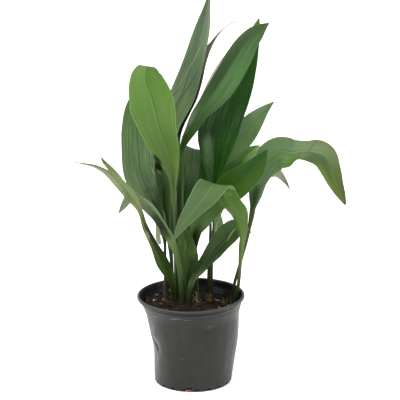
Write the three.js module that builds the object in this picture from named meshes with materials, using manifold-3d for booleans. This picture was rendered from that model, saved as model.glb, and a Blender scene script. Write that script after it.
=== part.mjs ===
// Potted cast iron plant: a nursery pot of soil with twenty long leaves standing in it.
// Millimetres, +Z up, origin at the middle of the pot's base. The viewer stands at -Y.
import * as THREE from 'three';
import Module from 'manifold-3d';

const wasm = await Module();
wasm.setup();
const { Manifold, Mesh } = wasm;

// The pot: radii and heights of the outer wall, from the foot to the lip.
const potHeight = 184.4;
const lipRadius = 111;
const lipInner = 104.8;
const baseRadius = 80;
const wall = 1.5;
const floorThickness = 2.2;
const potSides = 48;
const rimLean = -4.5;
const bellyShift = 4.8;
const rimRise = { left: 0.5, right: 3, back: 0.006, from: 160, tall: 18 };

const outerWall = [
  [baseRadius - 1.4, 0], [baseRadius, 1.6], [81.2, 14], [83, 34], [85.2, 54], [87.7, 74],
  [90, 92], [92.1, 110], [94.1, 128], [96, 146], [98.5, 155], [102.4, 166], [104.4, 171.4],
  [106, 172.4], [106, 175], [105, 176.2], [109.4, 176.8], [lipRadius, 178.4], [lipRadius, 182.4],
  [109.4, potHeight],
];
const innerWall = [
  [106.2, potHeight], [lipInner, 183], [103.4, 177], [102.6, 170.6], [100.2, 165], [97.8, 158],
  [96.4, 157.2], [94.4, 146], [92.5, 128], [90.5, 110], [88.4, 92], [86.1, 74], [83.6, 54],
  [81.4, 34], [79.6, 14], [78.6, floorThickness],
];

// Dents pressed into the soft wall: angle and height of the middle, reach in degrees and mm, depth.
const dents = [
  { angle: 188, z: 72, reach: 26, tall: 30, depth: 3.2 },
  { angle: 211, z: 92, reach: 7, tall: 16, depth: 2.2 },
  { angle: 289, z: 138, reach: 12, tall: 13, depth: 1.2 },
  { angle: 262, z: 66, reach: 8, tall: 8, depth: 0.8 },
  { angle: 338, z: 100, reach: 24, tall: 40, depth: -1.6 },
];

// Drain cuts round the foot of the wall.
const notchCount = 20;
const notch = { wide: 8, deep: 5, tall: 5.6 };
const drainAngle = 264;
const drainSize = { wide: 17, deep: 7, tall: 9 };

// The soil: its level at the axis, its fall to the right, and its clearance from the wall.
const soilLevel = 163;
const soilSlope = -0.07;
const soilGap = 0.45;
const chipCount = 24;

// The husk round one stem, and the piece of rhizome that lies half out of the soil.
const huskFoot = [32.6, 24];
const rhizomeKnobs = [[3, -17, 161, 5.4], [8, -9, 164, 7.2], [14, -2, 163, 6], [19, 3, 160, 4.4]];

// Leaf sections: points across each face, and the turn or length that ends a segment.
const acrossPoints = 5;
const turnPerSegment = 0.345;
const lengthPerSegment = 38;
const fineSteps = 240;
const stemThickness = 2.7;
const bladeThickness = 0.7;
const marginThickness = 0.34;
const stemHalfWidth = 3.3;
const stemFold = 55;

const green = {
  bright: 0x6b9442, blue: 0x567a4c, grey: 0x5f7a58, deep: 0x2f4a22, mid: 0x45692f, pale: 0x87996c,
  olive: 0x66803f, dark: 0x35502b,
};

// Every leaf runs through hand-placed points, foot first: x, y, z, half width, roll in degrees.
const leaves = {
  leaf_bright_left: {
    colour: green.bright, fold: 18, tipFold: 2, ripples: 3, phase: 0.1,
    path: [
      [-32, 22, 146, 3.3, 0], [-34, 8, 253, 3.2, 0], [-36, -14, 356, 3.3, -6], [-37.6, -26, 412, 7, -12],
      [-38.5, -34, 456, 15, -15], [-49, -42, 504, 32.5, -16], [-65.6, -48, 557, 43.8, -18],
      [-78.5, -50, 610, 48.8, -14], [-90.3, -46, 642, 38.2, -6], [-92.5, -40, 658, 30, 0],
      [-91.2, -32, 668, 22, 4], [-89.7, -22, 670.5, 15.5, 6], [-90, -10, 663, 9, 6], [-89, -4, 647, 1, 4],
    ],
  },
  leaf_broad_left: {
    colour: green.blue, fold: 20, ripples: 3, phase: 0.4,
    path: [
      [-57, 48, 141, 3.6, 0], [-58, 44, 241, 3.3, 0], [-59, 42, 294, 4.5, 0], [-70, 40, 338, 15, 0],
      [-90, 39, 388, 31, 0], [-106, 37.5, 437, 37, 0], [-111, 35.5, 488, 36.3, 0],
      [-111, 32, 537, 34.8, 0], [-106, 32, 581, 28.8, 0], [-97, 34, 614, 14, 0], [-90, 36, 634, 1.2, 0],
    ],
  },
  leaf_hanging_left: {
    colour: green.pale, fold: 18, ripples: 2, phase: 0.7,
    path: [
      [-46, 62, 134, 3.1, 0], [-47, 74, 247, 3.1, 0], [-62, 84, 331, 6, 10], [-85, 92, 405, 16.5, 20],
      [-105, 90, 440, 18.5, 20], [-120, 84, 437, 17.5, 0], [-127, 74, 410, 16.5, 0],
      [-135, 68, 376, 14.5, 0], [-145, 64, 357.5, 9.5, 0], [-154.5, 60, 341.5, 1, 0],
    ],
  },
  leaf_hanging_back: {
    colour: green.pale, fold: 16, ripples: 2, phase: 0.2,
    path: [
      [-37, 78, 131, 3.2, 0], [-38, 88, 243, 3.1, 0], [-44, 96, 328, 5, 0], [-55, 104, 390, 12.5, 0],
      [-66, 108, 430, 20, 0], [-74, 118, 445, 21, 0], [-75, 130, 420, 20, 0], [-68, 132, 350, 17.5, 0],
      [-68.5, 129, 315, 14.5, 0], [-70, 126, 288, 10.8, 0], [-70.5, 124, 268, 10, 0],
      [-68, 123, 256, 5, 0],
    ],
  },
  leaf_tallest: {
    colour: green.grey, fold: 20, ripples: 4, phase: 0.3,
    path: [
      [-40, 38, 142, 3.5, 0], [-44, 34, 244, 3.5, 0], [-48, 30, 319, 5, 5], [-55, 28, 369, 12.5, 8],
      [-60, 27, 418, 19.5, 10], [-60, 26, 478, 22.5, 10], [-51, 25, 540, 25.5, 10],
      [-21, 22, 607, 27.5, 8], [3.4, 16, 684, 21.2, 6], [19.6, 8, 744, 16, 4], [29.5, 2, 791, 6.4, 2],
      [36, -4, 824, 1, 0],
    ],
  },
  leaf_thread_tip: {
    colour: green.deep, fold: 16, ripples: 3, phase: 0.5,
    path: [
      [-30, 60, 137, 3.4, 0], [-32, 60, 236, 3.3, 0], [-33, 62, 323, 4.1, 0], [-34, 64, 380, 8.5, 0],
      [-40, 66, 450, 15.5, 0], [-38, 70, 513, 15.5, 0], [-17, 71, 563, 15.5, 0], [-5, 72, 587, 15, 0],
      [4, 72, 615, 14.5, 0], [14, 70, 654, 13, 0], [24.7, 66, 678, 8.7, 0], [35.5, 62, 696, 4.8, 0],
      [52, 58, 720, 1.8, 0], [68, 54, 736, 0.8, 0], [88, 50, 748, 0.8, 0],
    ],
  },
  leaf_upper_right: {
    colour: green.mid, fold: 20, ripples: 3, phase: 0.8,
    path: [
      [-19, 14, 149, 3.5, 0], [-19, 6, 253, 3.5, 0], [-22, -4, 357, 4.3, 4], [-22.5, -10, 443, 4.8, 8],
      [-24, -14, 494, 6.5, 12], [-17, -16, 521, 13, 14], [-5, -19, 546, 16.5, 18],
      [10.5, -24, 577, 21.5, 22], [32.7, -30, 607, 29.3, 22], [59.5, -38, 649, 33.5, 20],
      [84, -48, 692, 32.3, 18], [108, -60, 733, 24, 15], [130, -70, 756, 15.5, 10], [149, -78, 769, 1, 5],
    ],
  },
  leaf_bent_centre: {
    colour: green.dark, fold: 12, tipFold: 4, ripples: 2, phase: 0.6,
    path: [
      [-12, 42, 141, 3.3, 0], [-16, 38, 243, 4, 0], [-16, 32, 331, 15, 0], [-16, 26, 380, 17, 0],
      [-9, 20, 429, 21.5, 3], [-1, 18, 468, 22, 1], [1, 28, 488, 21.5, -2], [5, 50, 472, 20, -2],
      [14, 76, 428, 17, 0], [30, 94, 370, 14.5, 0], [46, 100, 330, 13, 0], [52.5, 103, 307, 12.3, 0],
      [54.5, 104, 292, 9.5, 0], [55, 104, 282, 1.3, 0],
    ],
  },
  leaf_inner_dark: {
    colour: green.deep, fold: 20, ripples: 2, phase: 0.9,
    path: [
      [-5, 32, 145, 3.3, 0], [-2, 26, 247, 3.3, 0], [9, 12, 316, 10.5, 0], [21, -2, 378, 16.5, 0],
      [27, -8, 422, 17, 0], [24, -10, 454, 12, 0], [18, -12, 481, 1.2, 0],
    ],
  },
  leaf_broad_right: {
    colour: green.deep, fold: 20, ripples: 4, phase: 0.2,
    path: [
      [32, 24, 143, 3.5, 0], [33.3, 24, 235, 3.6, 0], [36, 22, 300, 3.1, 0], [37, 20, 365, 3.3, 5],
      [41, 20, 416, 8.5, 8], [43, 20, 467, 29.5, 10], [47, 20, 521, 43.5, 10], [65.5, 18, 580, 43.5, 8],
      [88, 14, 630, 36.5, 8], [107, 10, 676, 24, 6], [119, 4, 714, 15, 4], [126.2, -2, 744, 9, 2],
      [132, -6, 765, 0.8, 0],
    ],
  },
  leaf_back_right: {
    colour: green.mid, fold: 20, ripples: 3, phase: 0.1,
    path: [
      [39, 38, 140, 3.3, 0], [38.8, 40, 229, 3.1, 0], [42, 44, 293, 2.9, 0], [44, 48, 357, 3.1, 0],
      [48, 54, 414, 8.5, 4], [58, 60, 455, 19.5, 6], [75, 64, 481, 28, 8], [99, 70, 506.5, 29.2, 8],
      [123.4, 77, 533, 21.8, 6], [146.2, 86, 555, 11, 4], [167, 92, 572, 0.8, 0],
    ],
  },
  leaf_far_right: {
    colour: green.olive, fold: 18, ripples: 2, phase: 0.5,
    path: [
      [36, 62, 136, 3.1, 0], [38, 66, 221, 3.1, 0], [41, 70, 281, 3.1, 0], [47, 76, 314, 5.5, 0],
      [60, 80, 352, 8.5, 0], [83, 86, 383, 13.5, 5], [116, 92, 409, 18.5, 10], [147, 90, 427, 19.5, 20],
      [175, 84, 427, 15.5, 30], [192, 78, 407, 7, 35], [201, 74, 390, 1, 35],
    ],
  },
  leaf_drooping_right: {
    colour: green.mid, fold: 16, ripples: 4, phase: 0.3,
    path: [
      [77, 36, 134, 3.5, 0], [86, 32, 197, 3.3, 0], [99, 27, 249, 3.3, 0], [110, 24, 295, 4.2, 0],
      [118.8, 22, 337, 5, -4], [123.5, 20, 366, 9, -8], [128.5, 19, 392, 16.3, -10],
      [137.3, 18, 429, 19.8, -12], [155, 16, 467, 32.5, -18], [175, 13, 482, 34, -28],
      [202, 2, 482.5, 33, -46], [222, -9, 490, 28.3, -68], [245, -24, 493, 27.5, -60],
      [265, -36, 487.5, 26.5, -42], [277, -43, 466, 22, -30], [286.5, -47, 442, 18.5, -22],
      [296.5, -50, 420, 13.5, -14], [307.3, -52, 393, 2.5, -10],
    ],
  },
  leaf_folded_right: {
    colour: green.mid, fold: 20, ripples: 3, phase: 0.6,
    path: [
      [-4, 10, 150, 3.5, 0], [-2, 9, 224, 3.5, 0], [-0.5, 4, 284, 4.5, 0], [1, -4, 314, 12.5, 0],
      [16.5, -15, 354, 23, 0], [49.5, -24, 400, 27.8, 0], [87, -32, 435.5, 33.5, 0], [117, -38, 462, 28, 0],
      [136, -44, 487, 14.5, 0], [149, -48, 507, 1, 0],
    ],
  },
  leaf_behind_fold: {
    colour: green.mid, fold: 22, ripples: 2, phase: 0.4,
    path: [
      [4, 24, 147, 3.1, 0], [8, 26, 247, 3.1, 0], [6, 32, 301, 4.5, 0], [30, 38, 357, 18, 0],
      [62, 38, 412, 22, 5], [90, 28, 454, 20.5, 8], [114, 14, 484, 16, 8], [126, 7, 496, 9, 8],
      [136, 3, 501.5, 1.2, 5],
    ],
  },
  leaf_front_arch: {
    colour: green.mid, fold: -7, ripples: 4, phase: 0.7,
    path: [
      [84, 8, 140, 3.5, 0], [91.5, 1, 186, 3.3, 0], [95, -8, 223, 3.5, 0], [97, -18, 261, 4, -3],
      [98.5, -27, 294, 6.5, -10], [99, -34, 316, 10.5, -18], [96, -43, 341, 15.7, -24],
      [88.9, -52, 366, 23.8, -27], [79.7, -60, 387, 30.6, -32], [69, -70, 409, 34.5, -35],
      [54, -82, 433, 37.5, -37], [45, -95, 447, 37.5, -37], [36, -107, 441, 37, -36],
      [24, -117, 426, 33.5, -34], [5, -125, 405, 28, -31], [-12, -131, 385, 21, -28],
      [-25, -135, 366, 12, -25], [-39, -138, 341, 1, -25],
    ],
  },
  leaf_pale_left: {
    colour: green.pale, fold: 20, ripples: 3, phase: 0.2,
    path: [
      [-22, -2, 154, 3.7, 0], [-24, -12, 214, 5.5, -8], [-28, -24, 264, 7.5, -12],
      [-39, -36, 309, 10.5, -18], [-57, -46, 349, 14, -28], [-83, -56, 389, 17, -35],
      [-111, -64, 419.5, 17.5, -40], [-140, -72, 450, 14.5, -45], [-161, -78, 478, 11, -45],
      [-176, -82, 494, 6, -45], [-181, -83, 500, 1.2, -45],
    ],
  },
  leaf_low_right: {
    colour: green.dark, fold: 20, ripples: 3, phase: 0.9,
    path: [
      [-10, -10, 155, 3.9, 0], [-6, -14, 202, 5.5, 0], [-1, -17, 222, 8, 0], [11.6, -22, 248, 13.6, 5],
      [27.6, -28, 272.6, 18, 8], [47, -34, 301, 21.5, 8], [68, -26, 323, 24.2, 0], [86, -11.9, 331, 19.5, -2],
      [104, -3, 327, 12.3, -6], [119, 5, 317, 1.2, 0],
    ],
  },
  leaf_young_centre: {
    colour: green.dark, fold: 20, ripples: 2, phase: 0.3,
    path: [
      [-14, 3, 155, 3.9, 0], [-12, -2, 208, 7, 0], [-10, -6, 240, 15.5, 0], [-9, -12, 272, 22, 0],
      [-14, -18, 306, 17.5, -5], [-21, -22, 333, 11, -5], [-28, -24, 355, 1.2, 0],
    ],
  },
  leaf_slender_left: {
    colour: green.olive, fold: 20, ripples: 3, phase: 0.5,
    path: [
      [-35, 6, 153, 3.7, 0], [-41, -2, 199, 6.3, 6], [-50, -10, 234, 12, 14], [-64.5, -22, 265, 14, 20],
      [-80, -36, 304, 8.9, 30], [-97.8, -50, 347, 7.7, 40], [-109, -66, 389, 7, 40],
      [-126, -80, 421.6, 11.3, 20], [-146, -88, 448.6, 10.6, 0], [-169, -94, 472.5, 7.3, -10],
      [-192, -98, 486, 4.3, -10], [-217, -102, 492, 1.8, 0], [-233, -104, 495, 0.8, 0],
    ],
  },
};
const waveHeight = 2;

// Seeded draw, so that the chips always fall in the same places.
function seeded(seed) {
  let state = seed;
  return () => {
    state = (state * 1664525 + 1013904223) % 4294967296;
    return state / 4294967296;
  };
}

function clamp01(value) {
  return Math.min(1, Math.max(0, value));
}

// Closed shell from positions and triangles.
function shell(points, triangles) {
  const geometry = new THREE.BufferGeometry();
  geometry.setAttribute('position', new THREE.Float32BufferAttribute(points.flat(), 3));
  geometry.setIndex(triangles.flat());
  geometry.computeVertexNormals();
  return geometry;
}

// three.js geometry to a solid for cutting and joining, and back.
function toSolid(geometry) {
  const position = geometry.getAttribute('position');
  const places = new Map();
  const vertices = [];
  const lookup = [];
  for (let i = 0; i < position.count; i += 1) {
    const point = [position.getX(i), position.getY(i), position.getZ(i)];
    const key = point.map((value) => Math.round(value * 1e4)).join(' ');
    if (!places.has(key)) {
      places.set(key, vertices.length / 3);
      vertices.push(...point);
    }
    lookup.push(places.get(key));
  }
  const index = geometry.getIndex();
  const corners = index ? Array.from(index.array) : lookup.map((_, i) => i);
  const triangles = [];
  for (let i = 0; i < corners.length; i += 3) {
    const [a, b, c] = [lookup[corners[i]], lookup[corners[i + 1]], lookup[corners[i + 2]]];
    if (a !== b && b !== c && a !== c) {
      triangles.push(a, b, c);
    }
  }
  return new Manifold(new Mesh({
    numProp: 3, vertProperties: new Float32Array(vertices), triVerts: new Uint32Array(triangles),
  }));
}

function toGeometry(solid) {
  const mesh = solid.getMesh();
  const geometry = new THREE.BufferGeometry();
  const points = new Float32Array(mesh.vertProperties);
  geometry.setAttribute('position', new THREE.BufferAttribute(points, 3));
  geometry.setIndex(Array.from(mesh.triVerts));
  geometry.computeVertexNormals();
  return geometry;
}

function named(name, geometry, colour, roughness) {
  const material = new THREE.MeshStandardMaterial({ color: colour, roughness, metalness: 0 });
  const mesh = new THREE.Mesh(geometry, material);
  mesh.name = name;
  return mesh;
}

// How far the middle of the pot has moved sideways at a height, and how deep its dents are there.
function potShift(z) {
  return (rimLean * z) / potHeight + bellyShift * Math.sin((Math.PI * z) / potHeight);
}

function dentDepth(angle, z) {
  const degrees = (THREE.MathUtils.radToDeg(angle) + 360) % 360;
  return dents.reduce((sum, dent) => {
    const aside = (degrees - dent.angle) / dent.reach;
    const above = (z - dent.z) / dent.tall;
    return sum + dent.depth * Math.exp(-aside * aside - above * above);
  }, 0);
}

// The rim stands a little higher at its right and at its back.
function raised(x, y, z) {
  const share = clamp01((z - rimRise.from) / rimRise.tall);
  const toRight = (x + lipRadius) / (2 * lipRadius);
  const rise = rimRise.left + rimRise.right * toRight * toRight + rimRise.back * y;
  return z + share * share * (3 - 2 * share) * rise;
}

function bendPoint(x, y, z) {
  const radius = Math.hypot(x, y);
  const angle = Math.atan2(y, x);
  const pressed = radius > 60 ? radius - dentDepth(angle, z) : radius;
  const [px, py] = [pressed * Math.cos(angle) + potShift(z), pressed * Math.sin(angle)];
  return [px, py, raised(px, py, z)];
}

function potSolid() {
  const profile = [[0, 0], ...outerWall, ...innerWall, [0, floorThickness]];
  const lathe = new THREE.LatheGeometry(profile.map(([r, z]) => new THREE.Vector2(r, z)), potSides);
  lathe.rotateX(Math.PI / 2);
  const position = lathe.getAttribute('position');
  for (let i = 0; i < position.count; i += 1) {
    position.setXYZ(i, ...bendPoint(position.getX(i), position.getY(i), position.getZ(i)));
  }
  let pot = toSolid(lathe);
  for (let k = 0; k < notchCount; k += 1) {
    pot = pot.subtract(wedge(k * (360 / notchCount) + 6, notch));
  }
  return pot.subtract(wedge(drainAngle, drainSize));
}

// Wedge that cuts a drain notch: wide at the foot and narrow at its top.
function wedge(degrees, size) {
  const outline = new THREE.Shape([
    new THREE.Vector2(-size.wide / 2, -1), new THREE.Vector2(size.wide / 2, -1),
    new THREE.Vector2(size.wide / 5, size.tall), new THREE.Vector2(-size.wide / 5, size.tall),
  ]);
  const cut = new THREE.ExtrudeGeometry(outline, { depth: size.deep, bevelEnabled: false });
  cut.rotateX(Math.PI / 2);
  cut.translate(0, -(baseRadius - size.deep + 2.6), 0);
  cut.rotateZ(THREE.MathUtils.degToRad(degrees - 270));
  return toSolid(cut);
}

// Height of the soil: a gentle fall to the right, a low mound at the stems and small lumps.
function soilTop(x, y) {
  const mound = 4 * Math.exp(-((x + 8) ** 2 + (y - 14) ** 2) / 2600);
  const lumps = 1.5 * Math.sin(x * 0.17 + 1.3) * Math.cos(y * 0.14 - 0.6)
    + 0.9 * Math.sin(x * 0.37 - y * 0.31) + 0.7 * Math.cos(y * 0.52 + x * 0.11);
  return soilLevel + soilSlope * x + mound + lumps;
}

// Inner radius of the pot's wall at a height, by straight steps between its profile points.
function innerRadius(z) {
  const upper = innerWall.findIndex(([, height]) => height <= z);
  const [r0, z0] = innerWall[upper - 1];
  const [r1, z1] = innerWall[upper];
  return r0 + ((r1 - r0) * (z - z0)) / (z1 - z0);
}

function soilBlock() {
  const sides = potSides;
  const rings = 7;
  const floor = floorThickness + 0.4;
  const levels = innerWall.map(([, z]) => z).filter((z) => z > 10 && z < 150).reverse();
  const points = [];
  const triangles = [];
  const wallPoint = (side, z) => {
    const angle = (side / sides) * Math.PI * 2;
    const radius = innerRadius(z) * Math.cos(Math.PI / potSides) - soilGap;
    return bendPoint(radius * Math.cos(angle), radius * Math.sin(angle), z);
  };
  points.push([0, 0, floor]);
  [floor, ...levels].forEach((z) => {
    for (let side = 0; side < sides; side += 1) {
      points.push(wallPoint(side, z));
    }
  });
  for (let ring = rings; ring >= 1; ring -= 1) {
    for (let side = 0; side < sides; side += 1) {
      const [edgeX, edgeY] = wallPoint(side, 153);
      const [x, y] = [(edgeX * ring) / rings, (edgeY * ring) / rings];
      points.push([x, y, soilTop(x, y)]);
    }
  }
  points.push([0, 0, soilTop(0, 0)]);
  const loops = levels.length + 1 + rings;
  for (let side = 0; side < sides; side += 1) {
    const next = (side + 1) % sides;
    triangles.push([0, 1 + next, 1 + side]);
    for (let loop = 0; loop < loops - 1; loop += 1) {
      const [a, b] = [1 + loop * sides + side, 1 + loop * sides + next];
      triangles.push([a, b, b + sides], [a, b + sides, a + sides]);
    }
    const last = 1 + (loops - 1) * sides;
    triangles.push([last + side, last + next, points.length - 1]);
  }
  return toSolid(shell(points, triangles));
}

// Bark chips, sunk into the soil at drawn places and turns.
function barkChips() {
  const draw = seeded(71);
  const chips = [];
  while (chips.length < chipCount) {
    const angle = draw() * Math.PI * 2;
    const radius = 84 * Math.sqrt(draw());
    const [x, y] = [radius * Math.cos(angle), radius * Math.sin(angle)];
    const chip = new THREE.BoxGeometry(7 + 9 * draw(), 4 + 4 * draw(), 2.6 + 1.6 * draw());
    chip.rotateX((draw() - 0.5) * 0.9);
    chip.rotateY((draw() - 0.5) * 0.9);
    chip.rotateZ(draw() * Math.PI);
    chip.translate(x, y, soilTop(x, y) + 0.2);
    chips.push(toSolid(chip));
  }
  return chips;
}

// Lumpy ball for the rhizome.
function knob([x, y, z, radius], grow) {
  const ball = new THREE.SphereGeometry(radius + grow, 10, 7);
  ball.scale(1.25, 1, 0.85);
  ball.rotateZ(0.7);
  ball.translate(x, y, z);
  return toSolid(ball);
}

function rhizome(grow) {
  return Manifold.union(rhizomeKnobs.map((place) => knob(place, grow)));
}

// Husk: a swollen sheath with an open middle for its stem.
function husk(grow) {
  const profile = grow
    ? [[0, 146], [8.8 + grow, 146], [8.8 + grow, 190], [0, 190]]
    : [[5, 147], [7.4, 147], [8.8, 158], [8, 168], [6.6, 176], [5.6, 181], [5, 179], [5, 147]];
  const lathe = new THREE.LatheGeometry(profile.map(([r, z]) => new THREE.Vector2(r, z)), 16);
  lathe.rotateX(Math.PI / 2);
  lathe.translate(huskFoot[0], huskFoot[1], 0);
  return toSolid(lathe);
}

// Smooth run through a leaf's points, each with its half width and roll.
function smoothPath(path, steps) {
  const gaps = path.slice(1).map((point, i) => Math.hypot(
    point[0] - path[i][0], point[1] - path[i][1], point[2] - path[i][2],
  ));
  const slopes = gaps.map((gap, i) => path[i].map((value, c) => (path[i + 1][c] - value) / gap));
  const tangents = path.map((_, i) => {
    if (i === 0) {
      return slopes[0];
    }
    if (i === gaps.length) {
      return slopes[i - 1];
    }
    const [before, after] = [gaps[i - 1], gaps[i]];
    return slopes[i].map((s, c) => (s * before + slopes[i - 1][c] * after) / (before + after));
  });
  const total = gaps.reduce((sum, gap) => sum + gap, 0);
  const samples = [];
  let span = 0;
  let passed = 0;
  for (let step = 0; step <= steps; step += 1) {
    const along = (total * step) / steps;
    while (span < gaps.length - 1 && along > passed + gaps[span]) {
      passed += gaps[span];
      span += 1;
    }
    const gap = gaps[span];
    const u = Math.min(1, (along - passed) / gap);
    const [p, q, m, n] = [path[span], path[span + 1], tangents[span], tangents[span + 1]];
    samples.push(p.map((value, c) => (2 * u ** 3 - 3 * u ** 2 + 1) * value
      + (u ** 3 - 2 * u ** 2 + u) * gap * m[c]
      + (3 * u ** 2 - 2 * u ** 3) * q[c] + (u ** 3 - u ** 2) * gap * n[c]));
  }
  return samples;
}

// Directions along, out of and across the leaf at every sample. Roll 0 faces the viewer.
function leafFrames(samples) {
  const places = samples.map(([x, y, z]) => new THREE.Vector3(x, y, z));
  const facing = new THREE.Vector3(0, -1, 0);
  return places.map((place, i) => {
    const ahead = places[Math.min(i + 1, places.length - 1)];
    const behind = places[Math.max(i - 1, 0)];
    const along = ahead.clone().sub(behind).normalize();
    facing.addScaledVector(along, -facing.dot(along)).normalize();
    const roll = THREE.MathUtils.degToRad(samples[i][4]);
    const out = facing.clone().applyAxisAngle(along, roll);
    return { place, along, out, across: along.clone().cross(out), half: Math.max(0.8, samples[i][3]) };
  });
}

// Fold angle of the blade and half thickness of its middle at every sample.
function leafProfile(frames, leaf) {
  const widths = frames.map((frame) => frame.half);
  const widest = widths.indexOf(Math.max(...widths));
  const start = widths.findIndex((width) => width > 2 * widths[0]);
  const tipFold = leaf.tipFold ?? leaf.fold;
  const footFold = Math.sign(leaf.fold) * stemFold;
  const last = frames.length - 1;
  return widths.map((width, i) => {
    const growing = clamp01((i - start) / (widest - start));
    const past = clamp01((i - widest) / (0.12 * last));
    const blade = clamp01((width - stemHalfWidth) / 6);
    const fold = i < widest
      ? (leaf.fold + (footFold - leaf.fold) * (1 - growing) ** 2) * blade
      : leaf.fold + (tipFold - leaf.fold) * past;
    const thick = i < widest ? Math.exp(-Math.max(0, width - stemHalfWidth) / 5) : 0;
    return {
      fold: THREE.MathUtils.degToRad(fold),
      half: bladeThickness + (stemThickness - bladeThickness) * thick,
      along: clamp01((i - start) / (last - start)),
    };
  });
}

// Samples that become rings: closer together where the leaf turns.
function ringSteps(frames) {
  const steps = [0];
  let load = 0;
  for (let i = 1; i < frames.length; i += 1) {
    const turn = frames[i].along.angleTo(frames[i - 1].along);
    const twist = frames[i].out.angleTo(frames[i - 1].out);
    load += Math.max(turn, twist) / turnPerSegment;
    load += frames[i].place.distanceTo(frames[i - 1].place) / lengthPerSegment;
    if (load >= 1 || i === frames.length - 1) {
      steps.push(i);
      load = 0;
    }
  }
  return steps;
}

function leafRing(frame, profile, leaf) {
  const across = [...Array(acrossPoints).keys()].map((k) => (2 * k) / (acrossPoints - 1) - 1);
  const bowl = (s) => (Math.sqrt(s * s + 0.03) - Math.sqrt(0.03)) / (Math.sqrt(1.03) - Math.sqrt(0.03));
  const ripple = waveHeight * Math.sqrt(Math.sin(Math.PI * profile.along)) * clamp01(frame.half / 15);
  const point = (s, side) => {
    const turn = 2 * Math.PI * (leaf.ripples * profile.along + leaf.phase) + (s < 0 ? 1.9 : 0);
    const rise = bowl(s) * frame.half * Math.sin(profile.fold)
      + ripple * Math.abs(s) ** 1.6 * Math.sin(turn);
    const thick = Math.max(marginThickness, profile.half * Math.sqrt(1 - 0.92 * s * s));
    return frame.place.clone()
      .addScaledVector(frame.across, s * frame.half * Math.cos(profile.fold))
      .addScaledVector(frame.out, rise + side * thick)
      .toArray();
  };
  return [
    ...across.map((s) => point(s, 1)),
    ...across.slice().reverse().map((s) => point(s, -1)),
  ];
}

function leafGeometry(leaf) {
  const frames = leafFrames(smoothPath(leaf.path, fineSteps));
  const profiles = leafProfile(frames, leaf);
  const rings = ringSteps(frames).map((i) => leafRing(frames[i], profiles[i], leaf));
  const size = 2 * acrossPoints;
  const triangles = [];
  for (let ring = 0; ring < rings.length - 1; ring += 1) {
    for (let k = 0; k < size; k += 1) {
      const [a, b] = [ring * size + k, ring * size + ((k + 1) % size)];
      const [c, d] = [b + size, a + size];
      // Both faces are split along the same diagonal.
      if (k < acrossPoints) {
        triangles.push([a, b, c], [a, c, d]);
      } else {
        triangles.push([a, b, d], [b, c, d]);
      }
    }
  }
  const cap = (ring, flip) => {
    const first = ring * size;
    for (let k = 0; k < acrossPoints - 1; k += 1) {
      const [a, b] = [first + k, first + k + 1];
      const [c, d] = [first + size - 2 - k, first + size - 1 - k];
      triangles.push(...(flip ? [[a, b, c], [a, c, d]] : [[a, c, b], [a, d, c]]));
    }
  };
  cap(0, false);
  cap(rings.length - 1, true);
  return shell(rings.flat(), triangles);
}

// Plain hole in the soil round the foot of a stem.
function stemHole(leaf) {
  const samples = smoothPath(leaf.path, fineSteps);
  const foot = new THREE.Vector3(...samples[0].slice(0, 3));
  const above = new THREE.Vector3(...samples.find((s) => s[2] > foot.z + 30).slice(0, 3));
  const hole = new THREE.CylinderGeometry(leaf.path[0][3] + 1.9, leaf.path[0][3] + 1.3, 66, 9);
  hole.rotateX(Math.PI / 2);
  hole.translate(0, 0, 32);
  const up = above.sub(foot).normalize();
  hole.applyQuaternion(new THREE.Quaternion().setFromUnitVectors(new THREE.Vector3(0, 0, 1), up));
  hole.translate(foot.x, foot.y, foot.z);
  return toSolid(hole);
}

function soilSolid() {
  const filled = Manifold.union([soilBlock(), ...barkChips()]);
  const holes = Object.values(leaves).map(stemHole);
  const cut = Manifold.union([...holes, rhizome(0.5), husk(0.6)]);
  return Manifold.difference(filled, cut);
}

const plant = new THREE.Group();
plant.name = 'potted_plant';
plant.add(named('pot', toGeometry(potSolid()), 0x484846, 0.55));
plant.add(named('soil', toGeometry(soilSolid()), 0x2a211b, 0.95));
plant.add(named('rhizome', toGeometry(rhizome(0)), 0x6b4532, 0.85));
plant.add(named('stem_husk', toGeometry(husk(0)), 0x7d5138, 0.85));
Object.entries(leaves).forEach(([name, leaf]) => {
  plant.add(named(name, leafGeometry(leaf), leaf.colour, 0.45));
});

export default plant;
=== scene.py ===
import math
import random

import bmesh
import bpy
import numpy as np
from mathutils import Matrix, Vector, noise


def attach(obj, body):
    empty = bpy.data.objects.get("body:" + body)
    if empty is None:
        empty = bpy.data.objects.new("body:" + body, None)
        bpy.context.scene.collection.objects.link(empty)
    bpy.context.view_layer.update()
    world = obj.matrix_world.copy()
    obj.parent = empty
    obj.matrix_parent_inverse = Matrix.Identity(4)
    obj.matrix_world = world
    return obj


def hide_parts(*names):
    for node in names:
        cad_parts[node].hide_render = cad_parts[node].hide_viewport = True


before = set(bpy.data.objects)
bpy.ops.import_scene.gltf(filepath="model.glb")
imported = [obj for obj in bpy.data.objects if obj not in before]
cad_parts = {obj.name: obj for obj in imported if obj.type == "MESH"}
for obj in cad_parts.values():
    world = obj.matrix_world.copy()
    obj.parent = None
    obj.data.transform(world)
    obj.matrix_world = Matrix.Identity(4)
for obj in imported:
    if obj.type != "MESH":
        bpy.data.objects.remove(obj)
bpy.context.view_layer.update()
mm = 0.001
scene = bpy.context.scene
print("frame loaded:", len(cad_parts), "nodes")

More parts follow.
